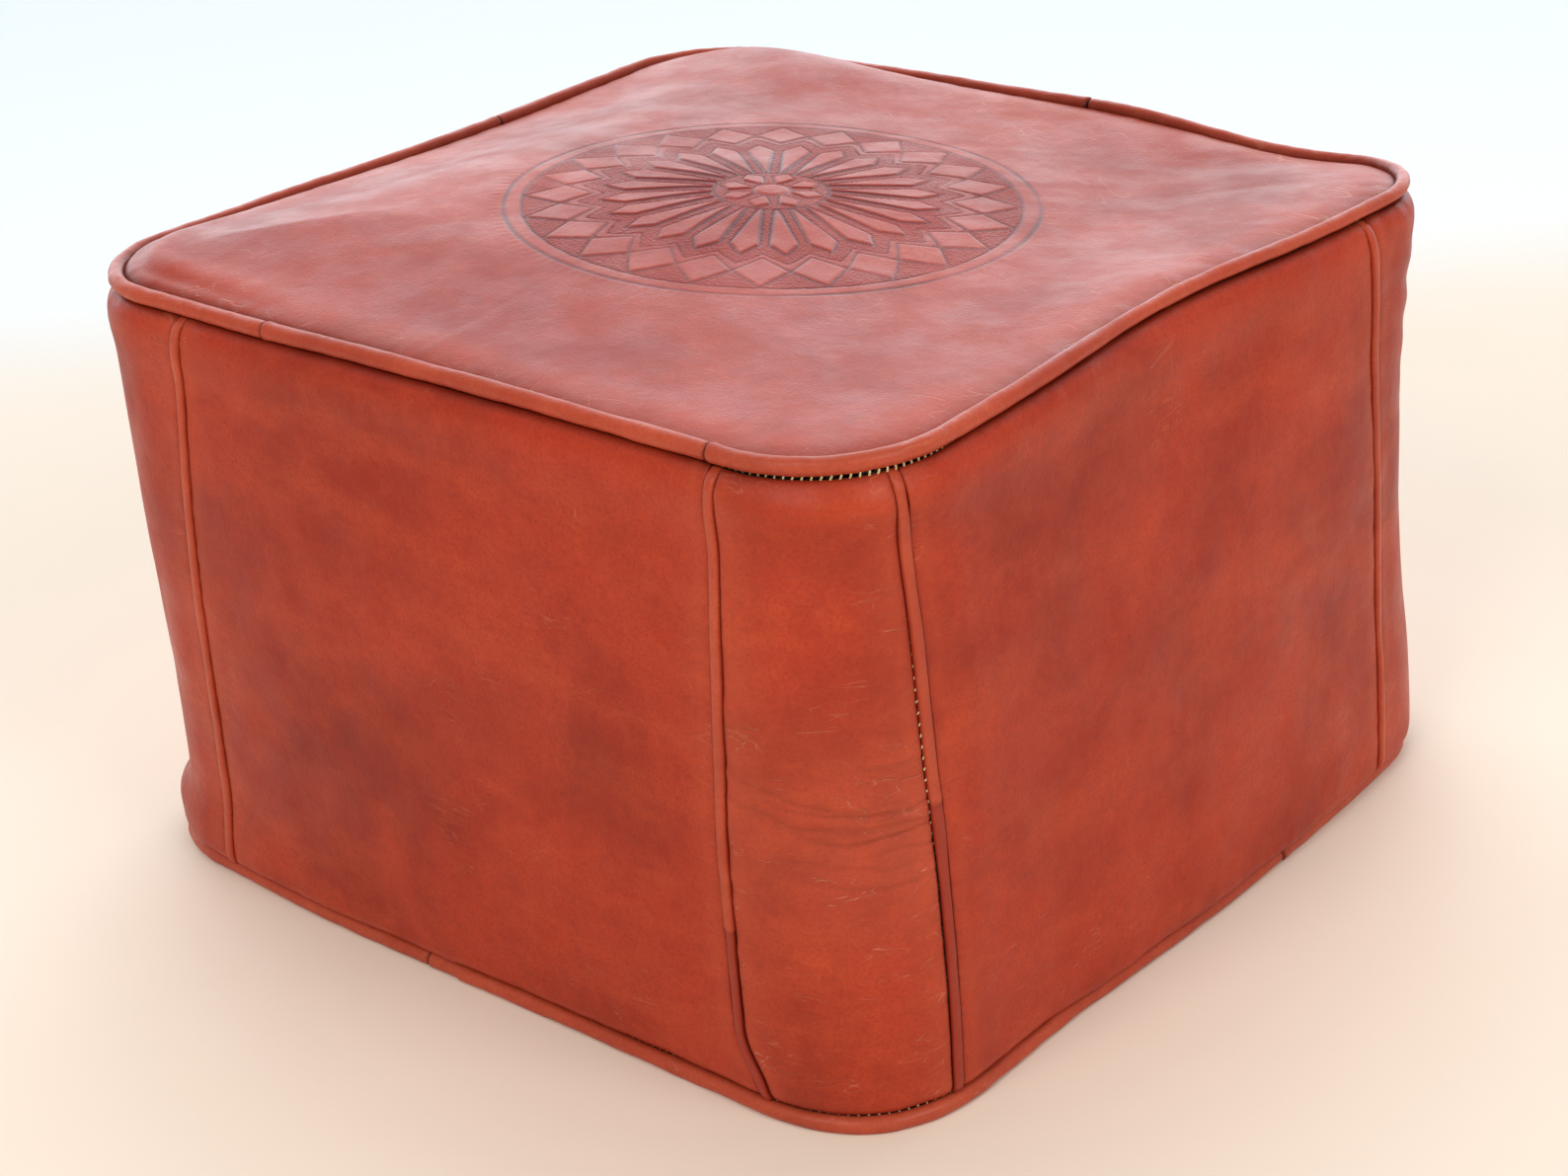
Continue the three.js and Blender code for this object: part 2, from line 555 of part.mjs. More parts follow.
function zip() {
  const made = new THREE.Group();
  const chainLow = TAPE_Z - CHAIN_THICKNESS / 2;
  const chainHigh = TAPE_Z + CHAIN_THICKNESS / 2;
  const tapeX = [SLOT_FROM - TAPE_OVERHANG, SLOT_TO + TAPE_OVERHANG];
  const tapeZ = [TAPE_Z - TAPE_THICKNESS / 2, TAPE_Z + TAPE_THICKNESS / 2];
  const topStopX = [CHAIN_TO + GAP, CHAIN_TO + GAP + STOP_LENGTH];
  const tapeFrom = BEAD_OUTER + GAP;
  for (const [end, side] of Object.entries({ front: -1, back: 1 })) {
    const between = (inner, outer) => [side * inner, side * outer].sort((a, b) => a - b);
    const halfTape = box(...tapeX, ...between(tapeFrom, tapeFrom + TAPE_WIDTH), ...tapeZ);
    const stop = box(...topStopX, ...between(TOP_STOP_INNER, BEAD_OUTER), chainLow, chainHigh);
    made.add(
      mesh(`zip_tape_${end}`, halfTape, tape),
      mesh(`zip_teeth_${end}`, teeth(side), brass),
      mesh(`zip_top_stop_${end}`, stop, brass),
    );
  }
  const bottomStopTo = CHAIN_FROM - GAP;
  const bottomStopX = [bottomStopTo - STOP_LENGTH, bottomStopTo];
  made.add(mesh("zip_bottom_stop", box(...bottomStopX, -BEAD_OUTER, BEAD_OUTER, chainLow, chainHigh), brass));
  const sliderMesh = mesh("zip_slider", slider(), brass);
  sliderMesh.position.x = SLIDER_X;
  const pullMesh = mesh("zip_pull", pull(), brass);
  pullMesh.position.set(SLIDER_X, 0, PULL_AXIS_Z);
  pullMesh.rotation.y = -PULL_TILT;
  made.add(sliderMesh, pullMesh);
  return made;
}

// ---- The stuffed bag ----
function stuffing() {
  const cavityInset = BAG_INSET + BAG_CLOTH;
  const fillInset = cavityInset + GAP;
  const coreInset = fillInset + WADDING + GAP;
  const bagTop = TOP_PIPING_Z - PIPING_RADIUS - BAG_TOP_CLEAR;
  const crowned = (z) => (x, y) => z + crown(x, y);
  const flat = (z) => () => z;
  const fillBottom = BAG_FLOOR_Z + BAG_CLOTH + GAP;
  const fillTop = bagTop - BAG_CLOTH - GAP;
  const coreBottom = fillBottom + WADDING + GAP;
  const coreTop = fillTop - WADDING - GAP;
  const outside = slab(BAG_INSET, flat(BAG_FLOOR_Z), crowned(bagTop));
  const inside = slab(cavityInset, flat(BAG_FLOOR_Z + BAG_CLOTH), crowned(bagTop - BAG_CLOTH));
  const [slotX, slotY] = FILLING_SLOT.map((size) => size / 2);
  const fillingSlot = box(-slotX, slotX, -slotY, slotY, 0, BAG_FLOOR_Z + 2 * BAG_CLOTH);
  return [
    mesh("cotton_bag", cut(outside, inside, fillingSlot), cotton),
    mesh("wadding_base", slab(fillInset, flat(fillBottom), flat(fillBottom + WADDING), 1), wadding),
    mesh("wadding_wrap", extrude(ring(fillInset, coreInset - GAP), coreBottom, coreTop), wadding),
    mesh("foam_core", slab(coreInset, flat(coreBottom), flat(coreTop), 1), foam),
    mesh("wadding_top", slab(fillInset, flat(coreTop + GAP), crowned(fillTop)), wadding),
  ];
}

const pouf = new THREE.Group();
pouf.add(
  mesh("top_panel", slab(PANEL_INSET, topLevel(-LEATHER / 2), topLevel(LEATHER / 2), 4), leather),
  ...uprightPieces(),
  ...roundPiping("top", TOP_PIPING_Z, TOP_SPLICES),
  ...roundPiping("base", BASE_PIPING_Z, BASE_SPLICES, BASE_PIPING_Z),
  ...basePanels(),
  zip(),
  ...stuffing(),
);

export default pouf;
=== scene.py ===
"""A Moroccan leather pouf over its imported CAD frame: cover, piping, stitches, zip and stuffing. Metres."""
import math
from contextlib import contextmanager

import bmesh
import bpy
import numpy as np
from mathutils import Matrix, Vector


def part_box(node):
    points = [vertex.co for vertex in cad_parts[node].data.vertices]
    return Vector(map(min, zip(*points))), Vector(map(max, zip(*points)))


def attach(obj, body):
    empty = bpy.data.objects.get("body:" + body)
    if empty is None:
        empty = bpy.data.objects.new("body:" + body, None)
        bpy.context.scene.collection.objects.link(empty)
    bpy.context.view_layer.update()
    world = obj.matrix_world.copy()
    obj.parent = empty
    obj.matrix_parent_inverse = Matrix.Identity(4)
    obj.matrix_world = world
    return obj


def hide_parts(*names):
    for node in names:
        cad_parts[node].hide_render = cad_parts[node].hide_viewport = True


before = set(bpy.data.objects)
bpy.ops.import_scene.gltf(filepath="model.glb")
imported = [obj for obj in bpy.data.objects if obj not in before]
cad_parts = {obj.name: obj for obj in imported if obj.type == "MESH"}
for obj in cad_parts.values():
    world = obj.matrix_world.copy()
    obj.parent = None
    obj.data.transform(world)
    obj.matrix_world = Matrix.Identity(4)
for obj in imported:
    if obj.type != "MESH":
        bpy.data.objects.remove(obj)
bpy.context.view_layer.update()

# ---- Sizes, and places taken from the frame ----
CORNER_RADIUS = 0.070  # of the upright corners, at the leather's outer face
PIPING_RADIUS = 0.004
LEATHER = 0.002
STITCH_PITCH = 0.004
UP = np.array([0, 0, 1.0])


def middle(node):
    low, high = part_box(node)
    return (low + high) / 2


HALF_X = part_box("side_panel_right")[1].x
HALF_Y = -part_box("side_panel_front")[0].y
TOP_PIPING_Z = middle("top_piping_strip_2").z
BASE_PIPING_Z = middle("base_piping_strip_1").z
PIPING_INSET = HALF_X + PIPING_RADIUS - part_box("top_piping_strip_2")[1].x
PIPING_EDGE = PIPING_INSET + PIPING_RADIUS  # the inner edge of the piping, measured in from the outline
TOP_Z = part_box("top_panel")[1].z
TAPE_Z = middle("zip_tape_front").z

# ---- Small mathematical helpers ----


def unit(t):
    return np.clip(t, 0, 1)


def smooth(t):
    """0 below 0, 1 above 1 and smooth between."""
    t = unit(t)
    return t * t * (3 - 2 * t)


def rounded(t):
    """A quarter circle: rises steeply from 0 and levels out at 1."""
    return np.sqrt(1 - (1 - unit(t)) ** 2)


def fading(distance, reach):
    """1 where distance is 0 or less, and 0 from reach on."""
    return unit(1 - distance / reach)


def bell(distance, width):
    return np.exp(-((distance / width) ** 2))


def lattice_value(cell, seed):
    """A number from -1 to 1 for each whole-numbered cell."""
    mixed = (cell[..., 0] * 73856093) ^ (cell[..., 1] * 19349663) ^ (cell[..., 2] * 83492791) ^ (seed * 40503)
    for shift in (13, 16, 15):
        mixed = ((mixed ^ (mixed >> shift)) * 1274126177) & 0xFFFFFFFF
    return mixed / 0x7FFFFFFF - 1


def noise(points, size, seed):
    """Smooth noise between about -1 and 1 whose lumps are as big as size, which may differ by axis."""
    scaled = np.asarray(points) / size
    cell = np.floor(scaled).astype(np.int64)
    part = smooth(scaled - cell)
    total = 0
    for corner in np.ndindex(2, 2, 2):
        weight = np.prod(np.where(corner, part, 1 - part), axis=-1)
        total = total + weight * lattice_value(cell + np.array(corner), seed)
    return total


def stacked(*parts):
    """Coordinates as one array of points, whatever the parts' shapes."""
    return np.stack(np.broadcast_arrays(*parts), -1).astype(float)


def ripple(size, seed, first, second=0):
    """Noise along a line or over a plane."""
    return noise(stacked(first, second, 0), size, seed)


def spaced(start, end, step, edge_step, edge_run):
    """Numbers from start to end that are closer together near both ends."""
    length = end - start
    fine = np.arange(0, edge_run, edge_step)
    coarse = np.linspace(edge_run, length - edge_run, max(2, round((length - 2 * edge_run) / step)))
    return start + np.concatenate([fine, coarse, length - fine[::-1]])


def turns(count):
    return np.linspace(0, 2 * math.pi, count, endpoint=False)


# ---- The outline in plan: a rounded rectangle, measured anticlockwise from the middle of the front face ----
STRAIGHT_X = HALF_X - CORNER_RADIUS
STRAIGHT_Y = HALF_Y - CORNER_RADIUS
ARC = math.pi / 2 * CORNER_RADIUS
RIGHT_FROM = STRAIGHT_X + ARC
RIGHT_MIDDLE = RIGHT_FROM + STRAIGHT_Y
BACK_FROM = RIGHT_MIDDLE + STRAIGHT_Y + ARC
LEFT_FROM = BACK_FROM + 2 * STRAIGHT_X + ARC
LEFT_MIDDLE = LEFT_FROM + STRAIGHT_Y
FRONT_FROM = LEFT_MIDDLE + STRAIGHT_Y + ARC
PERIMETER = FRONT_FROM + STRAIGHT_X
CORNERS = {"front_right": RIGHT_FROM, "back_right": BACK_FROM}  # where each rounded corner ends
CORNERS |= {"back_left": LEFT_FROM, "front_left": FRONT_FROM}


def outline(s, inset=0.0):
    """The points (x, y) at distances s along the outline, moved inwards, and the outward normals there."""
    s = np.asarray(s, float) % PERIMETER
    x = np.clip(s, 0, STRAIGHT_X) - np.clip(s - BACK_FROM, 0, 2 * STRAIGHT_X)
    x = x + np.clip(s - FRONT_FROM, 0, STRAIGHT_X)
    y = np.clip(s - RIGHT_FROM, 0, 2 * STRAIGHT_Y) - np.clip(s - LEFT_FROM, 0, 2 * STRAIGHT_Y) - STRAIGHT_Y
    turned = sum(np.clip((s - end + ARC) / CORNER_RADIUS, 0, math.pi / 2) for end in CORNERS.values())
    normal = np.stack([np.sin(turned), -np.cos(turned)], -1)
    reach = CORNER_RADIUS - np.asarray(inset)
    return np.stack([x, y], -1) + normal * reach[..., None], normal


def distance_of(x, y):
    """The distance along the outline of the point nearest (x, y)."""
    steps = np.linspace(0, PERIMETER, 20000)
    points, _ = outline(steps)
    return steps[np.argmin(np.hypot(points[:, 0] - x, points[:, 1] - y))]


def apart(s, other):
    """The signed distance along the outline from other to s, the short way round."""
    return (np.asarray(s) - other + PERIMETER / 2) % PERIMETER - PERIMETER / 2


def near(s, place, width):
    """1 at a place on the outline, fading to 0 at each side of it."""
    return bell(apart(s, place), width)


def from_corner(s, name):
    """The signed distance along the outline from the middle of a rounded corner."""
    return apart(s, CORNERS[name] - ARC / 2)


def at_corner(s, name, width=ARC * 0.6):
    """1 at the middle of a rounded corner, fading to 0 at each side of it."""
    return bell(from_corner(s, name), width)


def cornerness(s):
    """1 at the middle of each rounded corner and 0 on the straights."""
    return sum(at_corner(s, name) for name in CORNERS)


def inside_by(x, y):
    """How far points lie inside the outline."""
    qx = np.abs(x) - STRAIGHT_X
    qy = np.abs(y) - STRAIGHT_Y
    beyond = np.hypot(np.maximum(qx, 0), np.maximum(qy, 0)) + np.minimum(np.maximum(qx, qy), 0)
    return CORNER_RADIUS - beyond


def distance_along(x, y):
    """The distances along the outline of the points nearest to each (x, y)."""
    in_corner = (np.abs(x) > STRAIGHT_X) & (np.abs(y) > STRAIGHT_Y)
    by_x = np.abs(x) - STRAIGHT_X > np.abs(y) - STRAIGHT_Y
    side_x = np.where(x > 0, RIGHT_MIDDLE + y, LEFT_MIDDLE - y)
    side_y = np.where(y > 0, BACK_FROM + STRAIGHT_X - x, x % PERIMETER)
    angle = np.arctan2(np.abs(y) - STRAIGHT_Y, np.abs(x) - STRAIGHT_X)
    quarter = np.where((x > 0) == (y > 0), angle, math.pi / 2 - angle) * CORNER_RADIUS
    right_end = np.where(y > 0, BACK_FROM, RIGHT_FROM)
    left_end = np.where(y > 0, LEFT_FROM, FRONT_FROM)
    end = np.where(x > 0, right_end, left_end)
    return np.where(in_corner, end - ARC + quarter, np.where(by_x, side_x, side_y)) % PERIMETER


def flat_sides(s):
    """0 at the two outer corners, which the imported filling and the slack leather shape, and 1 elsewhere."""
    return 1 - unit(at_corner(s, "front_left", 0.085) + at_corner(s, "back_right", 0.075))


def right_side(s, late, run):
    """1 along the right side: rises over a run that starts late, and falls over one past its back end."""
    return smooth(apart(s, RIGHT_FROM + late) / run) * smooth((BACK_FROM + 0.05 - s) / run)


def drawn_in(s, v):
    """How far the stuffed cover stands inside the outline, at distance s and share v of the wall's height."""
    sides = flat_sides(s)
    v = unit(v)
    low = 1 - v
    leaning = smooth(v / 0.55 - 0.8)
    # It spreads towards the floor, most at the front corner, and leans in towards the top.
    spread = 0.0045 * sides + 0.0060 * at_corner(s, "front_right", 0.034) * low
    foot = 0.0018 * near(s, RIGHT_FROM + 0.045, 0.045) - 0.0028 * near(s, RIGHT_FROM + 0.18, 0.10)
    drawn = foot * low**3 - spread * low**1.5
    drawn = drawn + 0.0055 * smooth(2 * v - 1) * sides * (1 - 0.5 * at_corner(s, "front_right", 0.05))
    drawn = drawn + (0.0080 * near(s, RIGHT_MIDDLE, 0.10) + 0.0040 * near(s, LEFT_MIDDLE, 0.13)) * leaning
    packed = 0.0040 + 0.0075 * smooth(v / 0.16) - 0.0042 * smooth(v / 0.5 - 0.6)
    packed = packed + 0.0015 * smooth(v / 0.15 - 5.7)
    slack = 0.0015 + 0.0085 * smooth(v / 0.5) - 0.004 * smooth((v - 0.65) / 0.3)
    return drawn + at_corner(s, "front_left", 0.10) * packed + at_corner(s, "back_right", 0.085) * slack


# Upright seams in order: the panel that follows, and the side that the gap and its thread lie on.
SEAMS = {
    "front_right": ("corner_panel_front_right", 1),
    "right_front": ("side_panel_right", -1),
    "right_back": ("corner_panel_back_right", -1),
    "back_right": ("side_panel_back", 1),
    "back_left": ("corner_panel_back_left", 1),
    "left_back": ("side_panel_left", -1),
    "left_front": ("corner_panel_front_left", -1),
    "front_left": ("side_panel_front", 1),
}
SEAM_AT = {name: distance_of(*middle("upright_piping_" + name).xy) for name in SEAMS}
FLAT_PIPING_HALF = 0.0026
SEAM_LAP = 0.0003  # how far a panel beside the gap reaches under the flat piping


def seam_course(name, v):
    """Where an upright seam lies on the outline at share v of the height: none hangs quite straight."""
    v = np.asarray(v, float)
    lean = {
        "front_right": -0.003 + 0.010 * (1 - smooth(v / 0.12)),
        "right_front": 0.012 * (1 - v) + 0.002,
        "right_back": -0.006 * smooth((v - 0.85) / 0.15),
        "front_left": 0.013 * v**2,
        "back_left": -0.006 * v,
        "left_back": 0.005 * (1 - v),
    }.get(name, 0 * v)
    return SEAM_AT[name] + lean + 0.0007 * ripple(0.2, 11, v, SEAM_AT[name] * 9)


# ---- Making meshes ----


def add_mesh(name, points, faces, facts=None, shaded=True):
    """A mesh object from points and faces, with named numbers per point."""
    mesh = bpy.data.meshes.new(name)
    mesh.from_pydata(np.asarray(points, float).reshape(-1, 3).tolist(), [], faces)
    mesh.update()
    for key, values in (facts or {}).items():
        layer = mesh.attributes.new(key, "FLOAT", "POINT")
        layer.data.foreach_set("value", np.asarray(values, np.float32).ravel())
    made = bpy.data.objects.new(name, mesh)
    bpy.context.collection.objects.link(made)
    return shade(made, shaded)


def shade(made, smoothly=True):
    made.data.polygons.foreach_set("use_smooth", [smoothly] * len(made.data.polygons))
    return made


def cad_copy(node, name):
    """A piece that starts as a copy of a CAD solid, without its material."""
    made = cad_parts[node].copy()
    made.data = made.data.copy()
    made.data.materials.clear()
    made.name = name
    bpy.context.collection.objects.link(made)
    made.parent = None
    made.matrix_world = Matrix.Identity(4)
    return made


@contextmanager
def reworked(made):
    """The faces of a CAD piece to work on, its doubled points joined; they go back into it afterwards."""
    form = bmesh.new()
    form.from_mesh(made.data)
    bmesh.ops.remove_doubles(form, verts=form.verts, dist=1e-6)
    yield form
    form.to_mesh(made.data)
    form.free()


def grid_faces(rows, columns, loop=False, first=0):
    """Faces of a grid of points; with loop the last column joins the first."""
    index = first + np.arange(rows * columns).reshape(rows, columns)
    if loop:
        index = np.concatenate([index, index[:, :1]], 1)
    quads = [index[:-1, :-1], index[:-1, 1:], index[1:, 1:], index[1:, :-1]]
    return np.stack(quads, -1).reshape(-1, 4).tolist()


def closed_faces(rings, sides, first=0):
    """Faces of a stack of rings of points, closed at both ends."""
    last = first + (rings - 1) * sides
    ends = [list(range(first, first + sides))[::-1], list(range(last, last + sides))]
    return grid_faces(rings, sides, loop=True, first=first) + ends


def turned_over(faces):
    return [face[::-1] for face in faces]


def finish_piece(made, body, slot_name, material, *nodes):
    """Gives a piece its material and its body, and hides the CAD nodes that it stands for; the slot name is
    not used.
    """
    made.data.materials.append(material)
    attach(made, body)
    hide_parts(*nodes)
    return made


def finish_sheet(made, slot_name, material, node, thickness):
    """The same for stretched leather: it gets its thickness inwards."""
    solidify(made, thickness)
    finish_piece(made, "pouf", slot_name, material, node)


def solidify(made, thickness):
    """Gives a sheet its thickness, inwards from the side that its normals show."""
    solid = made.modifiers.new("thickness", "SOLIDIFY")
    solid.thickness = thickness
    solid.offset = -1
    solid.use_rim = True


def tube(name, centres, outs, radii, facts=None):
    """A closed tube through centres; radii (stations, sides) are measured from out towards up."""
    angles = turns(radii.shape[1])
    ring = outs[:, None] * np.cos(angles)[:, None] + UP * np.sin(angles)[:, None]
    points = centres[:, None] + ring * radii[..., None]
    return add_mesh(name, points, turned_over(closed_faces(*radii.shape)), facts)


def xy3(xy, z):
    """Points from their plan positions and heights."""
    return np.concatenate([xy, np.broadcast_to(np.asarray(z)[..., None], xy.shape[:-1] + (1,))], -1)


# ---- Materials ----


class Nodes:
    """A material's or a world's nodes. A call makes one node, and links or sets its inputs."""

    def __init__(self, owner):
        self.owner = owner
        owner.use_nodes = True
        self.nodes = owner.node_tree.nodes

    def __call__(self, kind, inputs=None, output=0, **settings):
        node = self.nodes.new("ShaderNode" + kind)
        for key, value in settings.items():
            setattr(node, key, value)
        self.put(node, inputs or {})
        return node.outputs[output]

    def put(self, node, inputs):
        for key, value in inputs.items():
            if isinstance(value, bpy.types.NodeSocket):
                self.owner.node_tree.links.new(value, node.inputs[key])
            else:
                node.inputs[key].default_value = value

    def range(self, value, low, high, out_low=0.0, out_high=1.0):
        inputs = {"Value": value, "From Min": low, "From Max": high, "To Min": out_low, "To Max": out_high}
        return self("MapRange", inputs, interpolation_type="SMOOTHSTEP")

    def along(self, place, direction):
        return self("VectorMath", {0: place, 1: direction}, output="Value", operation="DOT_PRODUCT")


class Paint(Nodes):
    """A material whose tone is laid on in washes."""

    def __init__(self, name, **surface):
        super().__init__(bpy.data.materials.new(name))
        self.surface = self.nodes["Principled BSDF"]
        names = {key: key.replace("_", " ").title().replace("Ior", "IOR") for key in surface}
        self.put(self.surface, {names[key]: value for key, value in surface.items()})
        self.place = self("TexCoord", output="Object")
        self.tone = None

    def fact(self, name):
        """A number that the mesh carries at each point."""
        return self("Attribute", output="Fac", attribute_name=name)

    def stretched(self, scale, turn=(0, 0, 0)):
        """The place, scaled and turned (in degrees)."""
        turn = tuple(math.radians(angle) for angle in turn)
        return self("Mapping", {"Vector": self.place, "Scale": scale, "Rotation": turn})

    def cloud(self, scale, detail=4, rough=0.55, place=None, bend=0.0):
        inputs = {"Vector": place or self.place, "Scale": scale, "Detail": detail}
        return self("TexNoise", {**inputs, "Roughness": rough, "Distortion": bend})

    def cells(self, scale, feature="F1", output="Distance"):
        return self("TexVoronoi", {"Vector": self.place, "Scale": scale}, output, feature=feature)

    def sums(self, operation, first, second=0.0, clamp=False):
        return self("Math", {0: first, 1: second}, operation=operation, use_clamp=clamp)

    def times(self, first, second, clamp=False):
        return self.sums("MULTIPLY", first, second, clamp)

    def plus(self, first, second, clamp=False):
        return self.sums("ADD", first, second, clamp)

    def lines(self, value, width, level=0.5):
        """Thin lines where a cloud crosses a level: 1 on the line, 0 away from it."""
        away = self.sums("ABSOLUTE", self.sums("SUBTRACT", value, level))
        return self.range(away, 0.0, width, 1.0, 0.0)

    def mix(self, factor, first, second):
        return self("Mix", {0: factor, 6: first, 7: second}, output=2, data_type="RGBA")

    def wash(self, where, strength, colour):
        """Lays a colour over the tone, as strongly as where times strength says."""
        self.tone = self.mix(self.times(where, strength, True), self.tone, colour)

    def bump(self, height, distance, strength=1.0, under=None):
        inputs = {"Height": height, "Distance": distance, "Strength": strength}
        if under:
            inputs["Normal"] = under
        return self("Bump", inputs)

    def done(self, colour, rough=None, normal=None):
        finish = {"Base Color": colour, "Roughness": rough, "Normal": normal}
        self.put(self.surface, {name: value for name, value in finish.items() if value is not None})
        return self.owner


def rgb(red, green, blue):
    """A colour given as on a screen, from 0 to 255, as a shader wants it."""
    linear = [((c / 255 + 0.055) / 1.055) ** 2.4 if c > 10 else c / 3295 for c in (red, green, blue)]
    return (*linear, 1.0)


def leather(name, base, deep, light, rough=0.42, streak=0.5):
    """Vegetable-tanned goat leather: clouded and streaked, with fine grain, light scratches and specks."""
    p = Paint(name, specular_ior_level=0.16, coat_weight=0.055, coat_roughness=0.2)
    clouds = p.range(p.cloud(9.0, 6, 0.62, bend=0.5), 0.34, 0.62)
    p.tone = p.mix(p.plus(p.times(clouds, 0.6), 0.4), deep, base)
    p.wash(p.range(p.cloud(34.0, 6, 0.7, bend=0.9), 0.36, 0.70), 0.28, light)
    brushed = p.cloud(1.0, 5, 0.65, place=p.stretched((11, 11, 38), (0, 38, 20)))
    p.wash(p.range(brushed, 0.45, 0.75), streak, light)
    p.wash(p.range(brushed, 0.48, 0.28), 0.4 * streak, deep)
    p.wash(p.range(p.cloud(150.0, 4, 0.7), 0.30, 0.70), 0.19, deep)
    pores = p.range(p.cloud(620.0, 3, 0.7), 0.42, 0.66)
    p.wash(pores, 0.34, deep)
    # Light scratches and cracks, where bending has moved the oils; they are thickest where it creases.
    pale = p.mix(0.6, light, rgb(232, 160, 128))
    across = p.cloud(1.0, 3, 0.5, place=p.stretched((14, 14, 80), (10, -12, 0)), bend=0.8)
    slanting = p.cloud(1.0, 2, 0.5, place=p.stretched((16, 16, 70), (-32, 30, 0)), bend=0.6)
    broken = p.range(p.cloud(48.0, 3), 0.46, 0.58)
    zone = p.plus(p.range(p.cloud(10.0, 2), 0.54, 0.66, 0.0, 0.5), p.fact("creased"), True)
    cracks = p.sums("MAXIMUM", p.lines(across, 0.007, 0.5), p.times(p.lines(slanting, 0.007, 0.47), 0.6))
    cracks = p.times(p.times(cracks, broken), zone)
    p.wash(p.fact("creased"), 0.1, pale)
    p.wash(cracks, 0.58, pale)
    # Specks: one cell in a few is a small dark dot.
    dots = p.range(p.cells(330.0), 0.08, 0.22, 1.0, 0.0)
    chosen = p.range(p("SeparateColor", {0: p.cells(330.0, output="Color")}), 0.86, 0.92)
    p.wash(p.times(dots, chosen), 0.3, deep)
    # What the mesh says: stains, stippled ground, tooled lines, dirt and painted shade in seams and hollows,
    # rubbed crests with painted highlights, darker strips.
    stained = p.mix(0.35, deep, rgb(82, 30, 20))
    stippled, tooled, dirt_and_shade, dark = rgb(124, 46, 50), rgb(78, 36, 44), rgb(62, 18, 12), rgb(134, 34, 26)
    for fact, strength, colour in (
        ("shade", 0.85, stained),
        ("stippled", 0.36, stippled),
        ("tooled", 0.72, tooled),
        ("grime_and_shade", 0.7, dirt_and_shade),
        ("wear_and_highlight", 0.45, light),
        ("redder", 0.6, dark),
    ):
        p.wash(p.fact(fact), strength, colour)
    gloss = p.range(p.cloud(38.0, 4), 0.3, 0.7, rough - 0.06, rough + 0.08)
    gloss = p.plus(gloss, p.times(p.fact("stippled"), 0.12))
    grain = p.plus(p.times(p.cells(1050.0, "SMOOTH_F1"), 0.7), p.times(p.cloud(520.0, 3, 0.6), 0.8))
    relief = p.bump(grain, 0.00018, 0.9)
    relief = p.bump(p.times(p.cells(640.0), p.fact("stippled")), 0.0007, 1.0, relief)
    relief = p.bump(p.times(cracks, -1.0), 0.0004, 0.8, relief)
    relief = p.bump(p.cloud(120.0, 3, 0.5), 0.0009, 0.35, relief)
    return p.done(p.tone, gloss, relief)


def woven(name, base, deep, threads, rough=0.9, depth=0.0003):
    """Plain-weave cloth: threads per metre crossing over and under each other."""
    p = Paint(name, sheen_weight=0.15)
    bands = {"Vector": p.place, "Scale": threads / 5, "Distortion": 0.6}
    warp, weft, rise = (p("TexWave", bands, bands_direction=axis) for axis in "XYZ")
    weave = p.times(p.plus(warp, weft), p.plus(rise, 0.4))
    slubs = p.cloud(60.0, 5, 0.7)
    p.tone = p.mix(p.range(weave, 0.1, 1.6), deep, base)
    p.wash(p.range(slubs, 0.45, 0.8), 0.3, deep)
    return p.done(p.tone, rough, p.bump(p.plus(weave, slubs), depth))


def fluffy(name, base, deep, lump):
    """Matted wadding: soft lumps and short fibres."""
    p = Paint(name, roughness=1.0, sheen_weight=0.4)
    lumps = p.cloud(lump, 6, 0.7, bend=1.0)
    fibres = p.lines(p.cloud(90.0, 4, 0.7, bend=3.0), 0.03)
    tone = p.mix(p.range(lumps, 0.35, 0.65), deep, base)
    return p.done(tone, None, p.bump(p.plus(lumps, p.times(fibres, 0.4)), 0.004))


def porous(name, base, deep):
    """Open-cell foam."""
    p = Paint(name, roughness=1.0)
    holes = p.range(p.cells(420.0), 0.2, 0.6)
    tone = p.mix(holes, deep, p.mix(p.range(p.cloud(9.0, 3), 0.3, 0.7), base, deep))
    return p.done(tone, None, p.bump(holes, 0.0012))


def twisted(name, base, deep, turns_per_metre):
    """Spun thread or cord: strands that run round it at a slant."""
    p = Paint(name, roughness=0.75, sheen_weight=0.2)
    slant = p.stretched((1, 1, 1), (35, 35, 35))
    inputs = {"Vector": slant, "Scale": turns_per_metre, "Distortion": 1.5, "Detail": 2.0}
    strands = p("TexWave", inputs)
    tone = p.mix(p.range(strands, 0.1, 0.7), deep, p.mix(p.range(p.cloud(45.0, 3), 0.4, 0.7), base, deep))
    return p.done(tone, None, p.bump(strands, 0.0003))


def brass_metal(name):
    p = Paint(name, metallic=1.0, roughness=0.3)
    tarnish = p.range(p.cloud(180.0, 5, 0.7), 0.4, 0.75)
    tone = p.mix(tarnish, rgb(214, 178, 96), rgb(140, 98, 46))
    brushed = p.cloud(1.0, 4, 0.6, place=p.stretched((300, 2400, 2400)))
    gloss = p.range(p.plus(tarnish, p.times(brushed, 0.4)), 0.2, 1.2, 0.2, 0.5)
    return p.done(tone, gloss, p.bump(brushed, 0.00004, 0.6))


